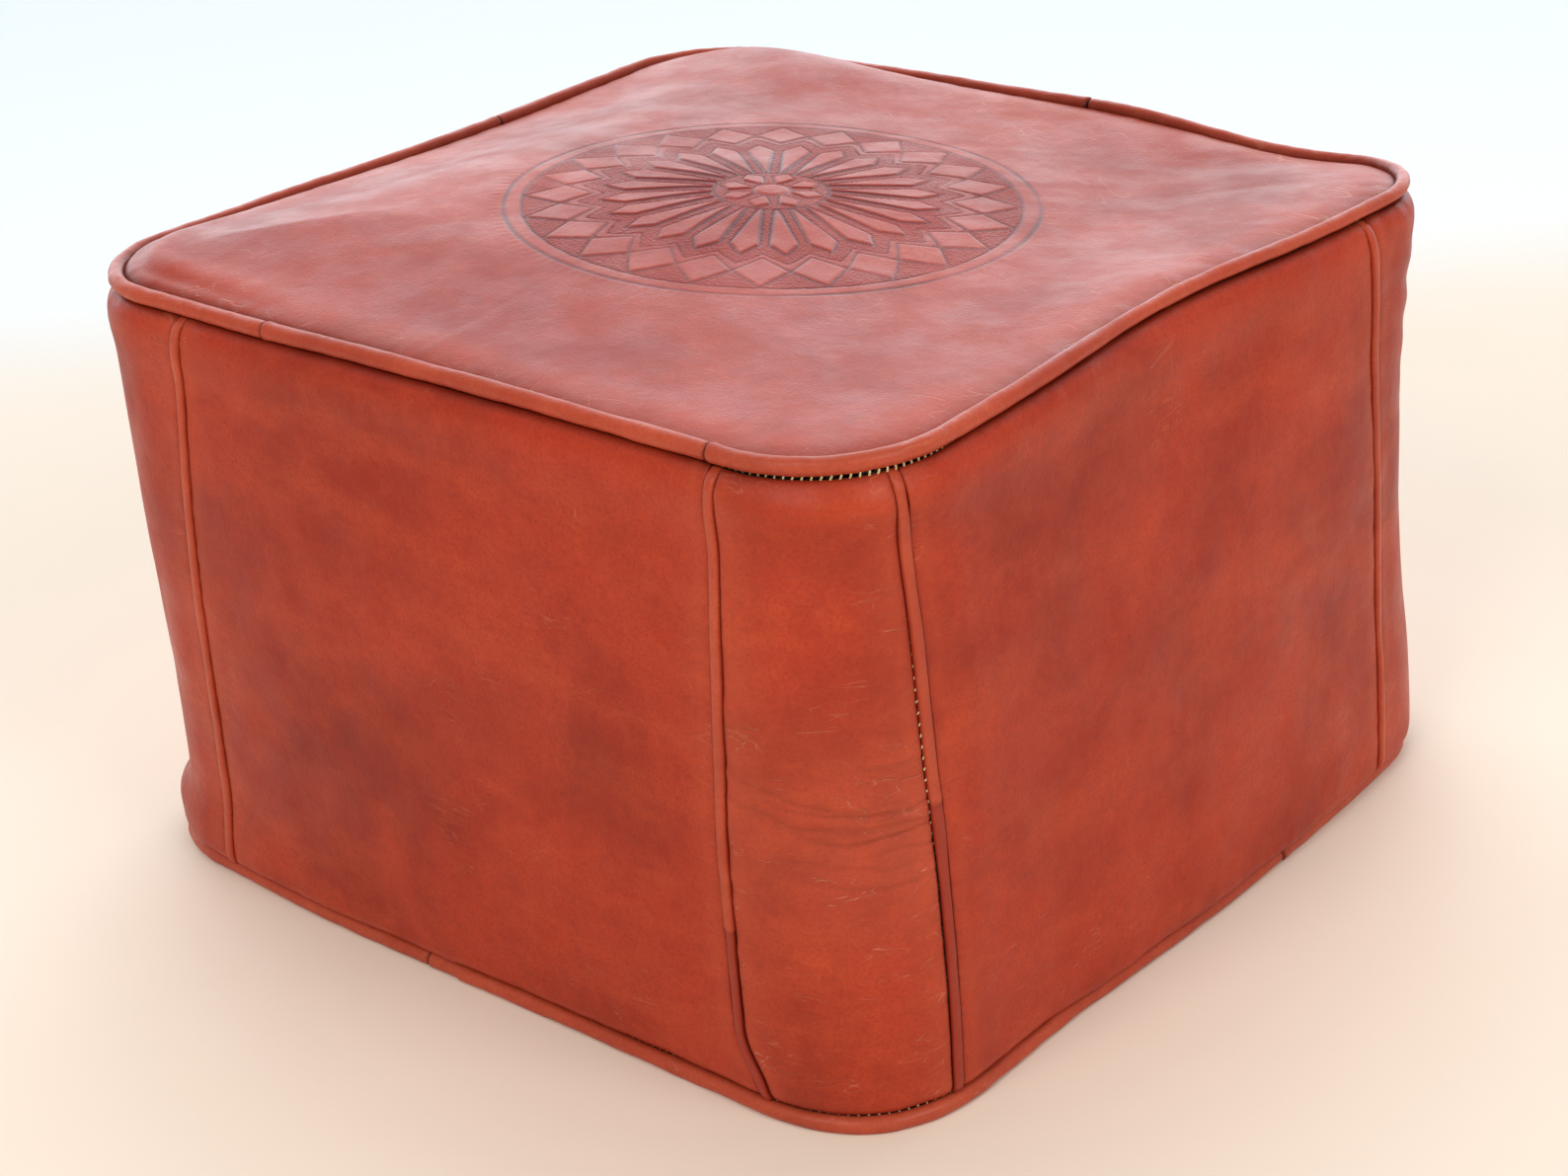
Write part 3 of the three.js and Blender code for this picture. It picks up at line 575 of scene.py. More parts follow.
COVER = leather("cover_leather", rgb(181, 56, 29), rgb(132, 31, 17), rgb(200, 76, 38))
PIPING = leather("piping_leather", rgb(184, 68, 42), rgb(142, 42, 26), rgb(206, 98, 66), 0.36, 0.3)
UNDERSIDE = leather("underside_leather", rgb(134, 76, 54), rgb(108, 56, 40), rgb(160, 102, 74), 0.7, 0.2)
THREAD = twisted("waxed_thread", rgb(246, 228, 178), rgb(206, 176, 112), 500.0)
JUTE = twisted("jute_cord", rgb(196, 166, 118), rgb(140, 108, 66), 130.0)
COTTON = woven("bag_cotton", rgb(226, 216, 192), rgb(184, 170, 140), 1100)
WADDING = fluffy("cotton_wadding", rgb(240, 237, 228), rgb(206, 200, 186), 34.0)
FOAM = porous("open_cell_foam", rgb(232, 212, 150), rgb(190, 162, 96))
TAPE = woven("zip_tape_twill", rgb(88, 44, 30), rgb(48, 22, 16), 1800, 0.85, 0.0002)
BRASS = brass_metal("worn_brass")


# ---- The side walls: four large panels and four corner strips ----
WALL_TURN = 0.0042  # from the middle of a piping to where the wall turns in beside it
WALL_FOOT = BASE_PIPING_Z + WALL_TURN
WALL_HEAD = TOP_PIPING_Z - WALL_TURN
WALL_RISE = WALL_HEAD - WALL_FOOT
SEAM_TUCK = {True: 0.0024, False: 0.0006}  # at an edge beside the gap, and at one against the piping
HEAD_LEVEL = 0.955  # share of the height at which the wall bulges under the top piping


def on_wall(s, v):
    """Points of the plain wall, for noise that runs on from panel to panel."""
    return stacked(*np.moveaxis(outline(s)[0], -1, 0), v * WALL_RISE)


def wall_swell(s, v):
    """How far the stuffed wall stands out of the outline, at distance s and share v of its height."""
    swell = 0.0036 * (1 - np.abs(2 * v - 1) ** 3) * flat_sides(s)
    swell = swell + (0.0030 - 0.0014 * at_corner(s, "back_right", 0.06)) * bell(v - HEAD_LEVEL, 0.05)
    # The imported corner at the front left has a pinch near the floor.
    pinch = from_corner(s, "front_left") + 0.01
    swell = swell - 0.0030 * bell(pinch, 0.03) * bell(v - 0.105, 0.026)
    swell = swell + 0.0026 * bell(pinch, 0.04) * bell(v - 0.055, 0.026)
    # The stuffing behind the leather is uneven.
    for height, size, seed in ((0.0016, 0.11, 1), (0.0007, 0.042, 2), (0.0002, 0.013, 3)):
        swell = swell + height * noise(on_wall(s, v), size, seed)
    return swell - drawn_in(s, v)


def smile_creases(s, v):
    """Folds across the middle of the front corner strip, and how creased it is there."""
    across = (from_corner(s, "front_right") - 0.004) / 0.05
    depth = 0
    for level, place, width, strength in (
        (0.515, -0.5, 0.6, 0.9),
        (0.498, -0.1, 0.8, 1.0),
        (0.480, 0.3, 0.7, 0.7),
        (0.470, -0.6, 0.5, 0.8),
        (0.455, 0.1, 0.9, 0.9),
        (0.436, 0.5, 0.5, 0.6),
        (0.415, -0.2, 0.6, 0.5),
        (0.380, 0.1, 0.7, 0.6),
        (0.575, 0.2, 0.5, 0.4),
    ):
        line = level + 0.032 * across**2 + 0.010 * ripple(1.0, 5, s * 45, level * 90)
        line = line + 0.004 * ripple(1.0, 4, s * 140, level * 70)
        depth = depth + strength * bell((v - line) * WALL_RISE, 0.0009) * bell(across - place, width)
    zone = bell(v - 0.45, 0.16) * bell(across, 1.1)
    return depth, unit(0.4 * depth + zone)


def far_corner_waves(s, v):
    """Slack folds across the back right corner strip, under the top."""
    zone = at_corner(s, "back_right", 0.05) * bell(v - 0.84, 0.12)
    return 0.0007 * zone * np.sin(v * WALL_RISE / 0.0036 + 3.0 * ripple(1.0, 6, s * 30, v * 3))


def wall_shade(s, v):
    """Where the dye has taken darker: broad stains on the front and the right."""
    ragged = 0.55 + 0.6 * noise(on_wall(s, v), 0.05, 61) + 0.4 * noise(on_wall(s, v), 0.018, 62)
    stain = 0
    for place, level, wide, high, strength in (
        (-0.06, 0.30, 0.075, 0.17, 0.75),
        (0.02, 0.47, 0.055, 0.10, 0.45),
        (-0.13, 0.62, 0.05, 0.16, 0.50),
        (0.11, 0.50, 0.025, 0.10, 0.35),
        (-0.09, 0.95, 0.12, 0.06, 0.45),
        (RIGHT_MIDDLE - 0.12, 0.80, 0.05, 0.10, 0.40),
        (RIGHT_MIDDLE + 0.03, 0.90, 0.12, 0.07, 0.35),
        (RIGHT_MIDDLE + 0.11, 0.35, 0.06, 0.16, 0.35),
    ):
        stain = stain + strength * near(s, place, wide) * bell(v - level, high)
    return unit(stain * ragged)


def overhang(s):
    """How much of the base piping the bulging wall hides: all on the right, little at the front corner."""
    s = s % PERIMETER
    return 0.25 + 0.75 * np.maximum(right_side(s, 0.02, 0.06), 0.5 * smooth((s - BACK_FROM) / 0.2))


def wall_panel(name, start_seam, end_seam):
    """A wall panel between two upright seams; each of its edges turns in by a tuck, deeper at a gap."""
    start_gaps, end_gaps = SEAMS[start_seam][1] > 0, SEAMS[end_seam][1] < 0
    in_front = name == "corner_panel_front_right"
    nominal = apart(SEAM_AT[end_seam], SEAM_AT[start_seam]) % PERIMETER
    shares = spaced(0.0, nominal, 0.0024, 0.0008, 0.010) / nominal
    rows = spaced(0.0, WALL_RISE, 0.0009 if in_front else 0.0022, 0.0008, 0.014) / WALL_RISE
    share, v = np.meshgrid(shares, rows)
    start = seam_course(start_seam, v) + FLAT_PIPING_HALF - SEAM_LAP * start_gaps
    end = seam_course(end_seam, v) + PERIMETER * (SEAM_AT[end_seam] < SEAM_AT[start_seam])
    end = end - FLAT_PIPING_HALF + SEAM_LAP * end_gaps
    s = start + (end - start) * share
    from_start, from_end = s - start, end - s
    from_edge = np.minimum(from_start, from_end)
    from_foot, from_head = v * WALL_RISE, (1 - v) * WALL_RISE
    gape = at_corner(s, "front_right")
    swell = wall_swell(s, v)
    swell -= SEAM_TUCK[start_gaps] * (1 - rounded(from_start / 0.004))
    swell -= SEAM_TUCK[end_gaps] * (1 - rounded(from_end / 0.004))
    swell -= 0.0062 * (1 - rounded(from_foot / 0.0075))
    swell -= (0.0060 - 0.0032 * gape) * (1 - rounded(from_head / 0.0085))
    swell += 0.0022 * bell(v - HEAD_LEVEL, 0.03) * at_corner(s, "front_right", 0.045)
    # The stitches pull the leather into small puckers along each edge.
    pucker = ripple(0.006, 7, from_foot, s * 0.2) * bell(from_edge, 0.008)
    pucker += ripple(0.006, 8, s, v * 0.2) * (bell(from_head, 0.008) + bell(from_foot, 0.008))
    swell += 0.0003 * pucker
    creased = 0.5 * bell(from_edge, 0.014) + 0 * s
    # Painted shade in the gap beside a seam, under the top piping and at the foot; a patchy darker band near
    # the floor adds dirt and shade.
    beside_gap = np.where(from_start < from_end, SEAM_TUCK[start_gaps], SEAM_TUCK[end_gaps]) / SEAM_TUCK[True]
    grime_and_shade = beside_gap * fading(from_edge, 0.0018) + (1 - 0.6 * gape) * fading(from_head, 0.003)
    dirt_and_shade = smooth(ripple(0.03, 9, s, from_foot))
    grime_and_shade += fading(from_foot, 0.004) + 0.2 * bell(from_foot, 0.03) * dirt_and_shade
    if in_front:
        depth, zone = smile_creases(s, v)
        swell -= 0.0011 * depth
        creased += 0.3 + zone
        # The crease lines are darkened with painted shade.
        grime_and_shade += 0.4 * depth
    if name == "corner_panel_back_right":
        swell += far_corner_waves(s, v)
    xy, _ = outline(s, -swell)
    z = WALL_FOOT + from_foot + piping_sag("top", s) * v**3
    z -= 0.0026 * overhang(s) * bell(from_foot - 0.003, 0.0055)
    z -= 0.0007 * bell(from_head, 0.008) * gape
    # Lighter shoulders beside each seam and under the top piping: rub wear and a painted highlight, the
    # highlight strongest on the bulge at the front right corner.
    head_wear_and_highlight = 0.25 + 0.5 * at_corner(s, "front_right", 0.02)
    wear_and_highlight = 0.35 * bell(from_edge - 0.006, 0.003) + head_wear_and_highlight * bell(from_head - 0.010, 0.007)
    facts = {"grime_and_shade": grime_and_shade, "wear_and_highlight": wear_and_highlight, "creased": creased, "shade": wall_shade(s, v)}
    made = add_mesh(name.replace("panel", "leather"), xy3(xy, z), grid_faces(*s.shape), facts)
    finish_sheet(made, "leather", COVER, name, LEATHER)


def make_walls():
    names = list(SEAMS)
    for name, following in zip(names, names[1:] + names[:1]):
        wall_panel(SEAMS[name][0], name, following)


# ---- The flat piping of the upright seams, each with its row of stitches in the gap ----
UPRIGHT_SPLICE = {"front_right": 0.285, "right_front": 0.50, "left_back": 0.62, "back_left": 0.40}
STITCHES_SHOW = {"right_front": 0.60, "left_back": 0.55}  # the share of the height at which a seam gapes


def make_upright_piping(name):
    """A folded strip sewn into an upright seam: flat, a little wavy, and thicker at its fold."""
    side, at = SEAMS[name][1], SEAM_AT[name]
    v = np.linspace(0.0, 1.0, 190)
    s = seam_course(name, v) - side * 0.0001
    z = WALL_FOOT + v * WALL_RISE + piping_sag("top", s) * v**3 - 0.0010
    swell = wall_swell(s, v) - 0.0009
    for from_end in (v * WALL_RISE, (1 - v) * WALL_RISE):
        swell -= 0.0050 * (1 - rounded(from_end / 0.008))
    xy, normal = outline(s, -swell)
    outs = xy3(normal, 0 * v)
    across = np.cross(UP, outs)
    angles = turns(20)
    half_width = FLAT_PIPING_HALF * (1.04 + 0.12 * ripple(0.035, 12, z, at * 5))
    thick = 0.0019 + 0.0004 * ripple(0.02, 13, z, at * 3)
    # A superellipse, whose fold lies on the side of the gap and stands a little higher.
    cos, sin = np.cos(angles), np.sin(angles)
    wide = np.abs(sin) ** 0.75 * np.sign(sin)
    fold = side * (1 + 0.8 * ripple(0.05, 19, z, at * 7))
    proud = np.abs(cos) ** 0.8 * np.sign(cos) * (1 + 0.22 * fold[:, None] * wide)
    step = (v - UPRIGHT_SPLICE.get(name, -1)) * WALL_RISE
    upper = smooth(step / 0.0006)
    half_width = half_width + 0.0003 * upper - 0.0002
    thick = thick + 0.0004 * upper - 0.0002
    points = xy3(xy, z)[:, None] + outs[:, None] * (thick[:, None] * proud)[..., None]
    points = points + across[:, None] * (half_width[:, None] * wide)[..., None]
    # Lighter along its outer face: rub wear and a painted highlight.
    wear_and_highlight = 0.55 * unit(proud) ** 3
    # Painted shade on its back against the wall and in the step at a splice.
    grime_and_shade = unit(-proud + 0.05) + 0.8 * bell(step, 0.0008)[:, None]
    facts = {"wear_and_highlight": wear_and_highlight, "grime_and_shade": grime_and_shade, "redder": (1 - upper)[:, None] + 0 * proud}
    made = add_mesh("upright_welt_" + name, points, closed_faces(*proud.shape), facts)
    finish_piece(made, "pouf", "piping_leather", PIPING, "upright_piping_" + name)


def stitches(name, centres, along, outs, length, radius, bow, node):
    """A row of stitches as one piece: each is a short bent thread from hole to hole, bowed outwards."""
    rings, sides = 7, 6
    t = np.linspace(-1, 1, rings)
    angles = turns(sides)
    across = np.cross(along, outs)
    thick = radius * np.sqrt(unit(1 - 0.85 * t**6))
    spine = centres[:, None] + along[:, None] * (t * length / 2)[:, None]
    spine = spine + outs[:, None] * (bow * (1 - t**2))[:, None]
    ring = outs[:, None] * np.cos(angles)[:, None] + across[:, None] * np.sin(angles)[:, None]
    points = spine[:, :, None] + ring[:, None] * thick[:, None, None]
    faces = []
    for i in range(len(centres)):
        faces += closed_faces(rings, sides, i * rings * sides)
    finish_piece(add_mesh(name, points, faces), "pouf", "thread", THREAD, node)


def slanted(outs, angle):
    """Directions along the seam's surface that slant upwards by an angle."""
    return np.cross(UP, outs) * np.sin(angle)[:, None] + UP * np.cos(angle)[:, None]


def make_upright_stitches(name):
    z = np.arange(WALL_FOOT + 0.008, WALL_HEAD - 0.008, 0.005)
    v = (z - WALL_FOOT) / WALL_RISE
    s = seam_course(name, v) + SEAMS[name][1] * (FLAT_PIPING_HALF + 0.0003)
    open_at = bell(v - STITCHES_SHOW.get(name, 2.0), 0.13)
    xy, normal = outline(s, -(wall_swell(s, v) - 0.0026 + 0.0021 * open_at))
    outs = xy3(normal, 0 * z)
    own_number = sum(ord(letter) for letter in name) / 7
    along = slanted(outs, 0.5 + 0.35 * ripple(0.004, 14, z, own_number))
    stitches("stitches_" + name, xy3(xy, z), along, outs, 0.0016, 0.00035, 0.0003, "seam_thread_" + name)


# ---- The round piping at the top and the base: leather strips butted round one cord ----
BACK_RISE, BACK_SAG = distance_of(0.03, HALF_Y), distance_of(0.15, HALF_Y)  # of the piping behind
SPLICES = {  # where the strips meet, in plan
    "top": ((-0.090, -HALF_Y), (0.172, -HALF_Y), (0.030, HALF_Y), (-HALF_X, 0.060)),
    "base": ((-0.020, -HALF_Y), (HALF_X, 0.060), (-0.050, HALF_Y), (-HALF_X, -0.080)),
}


def piping_sag(which, s):
    """How far the piping wanders up or down from its straight course."""
    wander = 0.0006 * ripple(0.09, 15, s, 3.3)
    if which == "base":
        return np.abs(wander) * 0.6
    lift = (
        0.0040 * near(s, RIGHT_MIDDLE, 0.09)
        + 0.0012 * near(s, 0, 0.12)
        + 0.0014 * near(s, BACK_RISE, 0.05)
    )
    return wander + lift - 0.0075 * near(s, BACK_SAG, 0.065) - 0.0022 * near(s, LEFT_MIDDLE, 0.14)


def piping_course(which, s):
    """The centres of the piping at distances s, and the outward directions."""
    inset = PIPING_INSET + 0.0005 * ripple(0.07, 16, s, 8.8)
    if which == "base":
        middle_z, inset = BASE_PIPING_Z, inset + base_drawn_in(s)
    else:
        middle_z, inset = TOP_PIPING_Z, inset + drawn_in(s, 1.0) + 0.0006
    xy, normal = outline(s, inset)
    return xy3(xy, middle_z + piping_sag(which, s)), xy3(normal, 0 * s)


def base_drawn_in(s):
    """How far the base piping and the edge of the base stand inside the outline."""
    return drawn_in(s, 0.0) + 0.0022 * overhang(s)


def make_piping(which):
    at = [distance_of(*point) for point in SPLICES[which]]
    for i, (start, end) in enumerate(zip(at, at[1:] + at[:1])):
        end += PERIMETER * (end < start)
        s = spaced(start + 0.00015, end - 0.00015, 0.0021, 0.0007, 0.006)
        centres, outs = piping_course(which, s)
        angles = turns(22)
        from_end = np.minimum(s - start, end - s)
        # One strip laps over the next at a splice, so its end is a little thicker.
        thick = PIPING_RADIUS + 0.0003 * bell(s - start, 0.005) - 0.0002 * bell(end - s, 0.004)
        thick = thick - 0.0011 * (1 - smooth(from_end / 0.0011))
        if which == "top":
            thick = thick - 0.0007 * right_side(s, 0.05, 0.1)
        place = stacked(s[:, None], 0.002 * np.cos(angles), 0.002 * np.sin(angles))
        rough = 0.00022 * noise(place, (0.012, 0.0015, 0.0015), 17 + i)
        rough = rough + 0.0001 * noise(place, (0.004, 0.002, 0.002), 27 + i)
        bends = cornerness(s)[:, None]
        pinched = 0.0003 * bends * noise(place, (0.0045, 0.003, 0.003), 37) * (1 + np.cos(angles)) / 2
        radii = thick[:, None] + rough + pinched
        if which == "base":
            # The floor flattens it.
            radii = 0.97 * np.minimum(radii, BASE_PIPING_Z / np.maximum(-np.sin(angles), 0.1))
        # Lighter along its upper outer side: rub wear and a painted highlight.
        crest = unit(np.cos(angles) * 0.6 + np.sin(angles) * 0.6) ** 2
        wear_and_highlight = crest * (0.6 + 0.3 * noise(place, (0.05, 0.01, 0.01), 47))
        # Painted shade on its inner side and at the strips' ends, with some dirt.
        grime_and_shade = unit(-0.2 - np.cos(angles)) + 0.9 * bell(from_end, 0.0012)[:, None]
        facts = {"wear_and_highlight": wear_and_highlight, "grime_and_shade": grime_and_shade, "creased": 0.5 * bends + 0 * radii}
        made = tube(f"{which}_welt_strip_{i + 1}", centres, outs, radii, facts)
        finish_piece(made, "pouf", "piping_leather", PIPING, f"{which}_piping_strip_{i + 1}")


def make_piping_cord(which):
    """The twisted cord of three strands inside the round piping."""
    s = np.linspace(0.0003, PERIMETER - 0.0003, 900)
    centres, outs = piping_course(which, s)
    if which == "base":
        centres[:, 2] += 0.0002
    radii = 0.0020 + 0.00025 * np.cos(3 * (turns(12) - s[:, None] / 0.0035))
    made = tube(f"{which}_welt_cord", centres, outs, radii)
    finish_piece(made, "pouf", "piping_cord", JUTE, f"{which}_piping_cord")


def make_ring_stitches(which):
    """The hand stitches between the round piping and the walls; they show where the front corner gapes."""
    count = round(PERIMETER / STITCH_PITCH)
    s = (np.arange(count) + 0.5) * PERIMETER / count
    centres, outs = piping_course(which, s)
    shown = bell(from_corner(s, "front_right") - 0.008, 0.052) if which == "top" else 0 * s
    down = -1 if which == "top" else 1
    centres = centres + outs * (0.0042 * shown - 0.0022)[:, None]
    centres[:, 2] += down * (PIPING_RADIUS + 0.0001 + 0.0002 * shown)
    angle = math.pi / 2 - 1.5 - 0.35 * ripple(0.004, 18, s, 1.7)
    along = slanted(outs, angle)
    stitches(f"stitches_{which}", centres, along, outs, 0.0030, 0.00048, 0.0005, f"seam_thread_{which}")


# ---- The top panel and its tooled medallion ----
MEDALLION_AT = (0.0070, 0.0022)  # a little off the middle of the top
MEDALLION_SCALE = 0.955  # of the pattern below, which is drawn at the size of its stamp
MEDALLION_RADIUS = 0.1325
FOLD = math.radians(15)  # between two petals
LOBE_FOLD = 3 * FOLD  # between two lobes of the rosette
BULGE_AT = distance_of(-0.165, HALF_Y)  # where the filling sits highest, at the back left


def kite(r, angle, turn, fold, inner, inner_half, wide, wide_half, outer):
    """How far inside a kite that points outwards, repeated round the centre; negative outside."""
    local = (angle - turn + fold / 2) % fold - fold / 2
    out, across = r * np.cos(local), np.abs(r * np.sin(local))
    half = np.interp(out, [inner, wide, outer], [inner_half, wide_half, 0.0], left=-1.0, right=-1.0)
    slope = np.where(out < wide, (wide_half - inner_half) / (wide - inner), wide_half / (outer - wide))
    return np.minimum((half - across) / np.hypot(1, slope), out - inner)


def medallion(x, y):
    """Height, tooled line and stippled ground of the embossed medallion at points of the top."""
    x, y = (x - MEDALLION_AT[0]) / MEDALLION_SCALE, (y - MEDALLION_AT[1]) / MEDALLION_SCALE
    r = np.hypot(x, y)
    angle = np.arctan2(y, x)
    petal = kite(r, angle, 0.0, FOLD, 0.0290, 0.0010, 0.0725, 0.0072, 0.0850)
    diamond = kite(r, angle, FOLD / 2, FOLD, 0.0880, 0.0, 0.1035, 0.0135, 0.1228)
    lobe = kite(r, angle, LOBE_FOLD / 2, LOBE_FOLD, 0.0105, 0.0012, 0.0205, 0.0062, 0.0272)
    from_axis = np.abs(angle % FOLD - FOLD / 2) / (FOLD / 2)
    zigzag = 0.0829 + 0.0125 * from_axis - r  # positive inside the inner zigzag line
    button = 0.0080 - r
    raised = np.maximum.reduce([petal, diamond, lobe, button])
    # The stamp bit deepest along the petals' inner ends.
    line = bell(petal, 0.0006 + 0.0005 * bell(r - 0.045, 0.02)) + 0.9 * bell(diamond, 0.0007)
    line += 0.8 * bell(lobe, 0.0006) + 0.8 * bell(zigzag, 0.0006) * (r > 0.078) * (r < 0.1)
    outer_rings = ((0.1236, 1.0), (MEDALLION_RADIUS - 0.0012, 0.5), (MEDALLION_RADIUS, 0.8))
    for ring, strength in (*outer_rings, (0.0282, 0.9), (0.0092, 0.7)):
        line += strength * bell(r - ring, 0.0007)
    fade = 1.0 + 0.5 * ripple(0.025, 21, x, y)
    line = unit(1.25 * line * fade)
    ground = (r < 0.1232) * (1 - smooth(raised / 0.0006 + 1)) * (1 - 0.75 * ((zigzag < 0) & (r < 0.1)))
    ground *= r > 0.0095
    plump = smooth(raised / 0.0016) * (1 - 0.4 * (r > 0.086))
    height = 0.00042 * plump - 0.0003 * line - 0.00012 * ground
    # Round the outer ring short strokes of the tool, and the leather drawn towards them.
    strokes = unit(np.cos(angle * 150)) ** 3 * bell(r - MEDALLION_RADIUS - 0.0042, 0.0032)
    strokes = unit(strokes * (0.6 + 0.6 * ripple(0.03, 22, x, y)))
    return height - 0.00022 * strokes, unit(line + 0.16 * strokes), unit(ground * fade)


def roll_height(s):
    """How high the soft roll beside the piping rises: full at the left, hardly there at the right."""
    height = 0.0058 + 0.0050 * at_corner(s, "front_left", 0.11) + 0.0010 * near(s, -0.08, 0.10)
    height = height - 0.0018 * bell(from_corner(s, "front_right") + 0.06, 0.14)
    height = height + 0.0140 * near(s, BULGE_AT, 0.07) - 0.0024 * near(s, LEFT_FROM + 0.05, 0.10)
    height = height - 0.0032 * right_side(s, 0.0, 0.06)
    back_dip = near(s, distance_of(0.05, HALF_Y), 0.055)
    return height + 0.0008 * ripple(0.12, 23, s, 5.5) - 0.0030 * back_dip


def top_surface(x, y, s):
    """Heights of the stuffed top without its medallion, depths from its edge, and how creased it is."""
    depth = np.maximum(inside_by(x, y) - PIPING_EDGE - drawn_in(s, 1.0), 0)
    rim = TOP_PIPING_Z + piping_sag("top", s) - 0.0012
    roll = roll_height(s) * rounded(depth / (0.022 + 0.035 * near(s, BULGE_AT, 0.09)))
    # The filling sits high at the left and has sunk at the right.
    r = np.hypot(x, y)
    tilt = -0.0697 * (x * math.cos(0.49) + y * math.sin(0.49)) / (1 + (r / 0.2) ** 4) ** 0.25
    dome = TOP_Z - 0.0095 + 0.0095 * bell(r, 0.11) + tilt
    share = smooth((depth - 0.006) / 0.105)
    z = (rim + roll) * (1 - share) + dome * share
    at = stacked(x, y, 0)
    z = z + share * (0.0008 * noise(at, 0.12, 24) + 0.0003 * noise(at, 0.045, 25))
    # A gutter runs beside the roll near the left corner, where the leather is slack.
    slack = at_corner(s, "front_left", 0.09)
    z = z - 0.0016 * slack * bell(depth - 0.0085, 0.0035) + 0.0008 * slack * bell(depth - 0.018, 0.006)
    # Fine slanting wrinkles spread from the back right.
    slanting = stacked(x * 0.8 + y * 0.6, y * 0.8 - x * 0.6, 0)
    zone = smooth((x + y) / 0.35 + 0.35)
    z = z + 0.00013 * zone * rounded(depth / 0.03) * noise(slanting, (0.035, 0.008, 1), 26)
    edge = bell(depth, 0.012) * rounded(depth / 0.004)
    z = z + 0.00025 * edge * ripple(0.007, 28, s, depth * 0.3)
    return z, depth, unit(0.3 * zone + 0.6 * edge)


def make_top():
    sectors = 720
    inner = np.arange(0.0009, 0.142, 0.0009)
    edge_shares = 1 - (1 - np.linspace(0, 1, 50)[1:]) ** 2
    s = np.arange(sectors) / sectors * PERIMETER
    rim, _ = outline(s, PIPING_EDGE - 0.0006 + drawn_in(s, 1.0))
    spokes = rim / np.hypot(rim[:, :1], rim[:, 1:])
    rings = [spokes * radius for radius in inner]
    rings += [rings[-1] + (rim - rings[-1]) * share for share in edge_shares]
    xy = np.array(rings)
    x, y = xy[..., 0], xy[..., 1]
    z, depth, creased = top_surface(x, y, np.broadcast_to(s, x.shape))
    relief, tooled, stippled = medallion(x, y)
    points = np.concatenate([xy3(xy, z + relief).reshape(-1, 3), [[0, 0, (z + relief)[0].mean()]]])
    faces = turned_over(grid_faces(len(rings), sectors, loop=True))
    faces += [[len(points) - 1, i, (i + 1) % sectors] for i in range(sectors)]
    # Painted shade in the gutter beside the piping, with some dirt.
    grime_and_shade = fading(depth, 0.0035) + 0.2 * bell(depth - 0.004, 0.005)
    # A lighter band along the crest of the roll: rub wear and a painted highlight.
    wear_and_highlight = 0.35 * bell(depth - 0.016, 0.008)
    shade = 0.16 + 0.25 * bell(depth - 0.05, 0.03) * smooth(ripple(0.08, 63, x, y))
    facts = {"tooled": tooled, "stippled": stippled, "creased": creased, "grime_and_shade": grime_and_shade, "wear_and_highlight": wear_and_highlight}
    facts["shade"] = shade
    facts = {key: np.append(values.ravel(), 0.0) for key, values in facts.items()}
    made = add_mesh("top_leather", points, faces, facts)
    finish_sheet(made, "leather", COVER, "top_panel", LEATHER)


# ---- The base: two plain panels, sewn together at both ends of the zip ----
SLOT_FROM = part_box("zip_bottom_stop")[0].x - 0.004
SLOT_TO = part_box("zip_top_stop_front")[1].x + 0.004
SLOT_HALF = 0.0068
BASE_LEATHER = 0.0016
BASE_UNDER_TAPE = TAPE_Z - 0.0017  # the middle of the base's leather, under the tapes


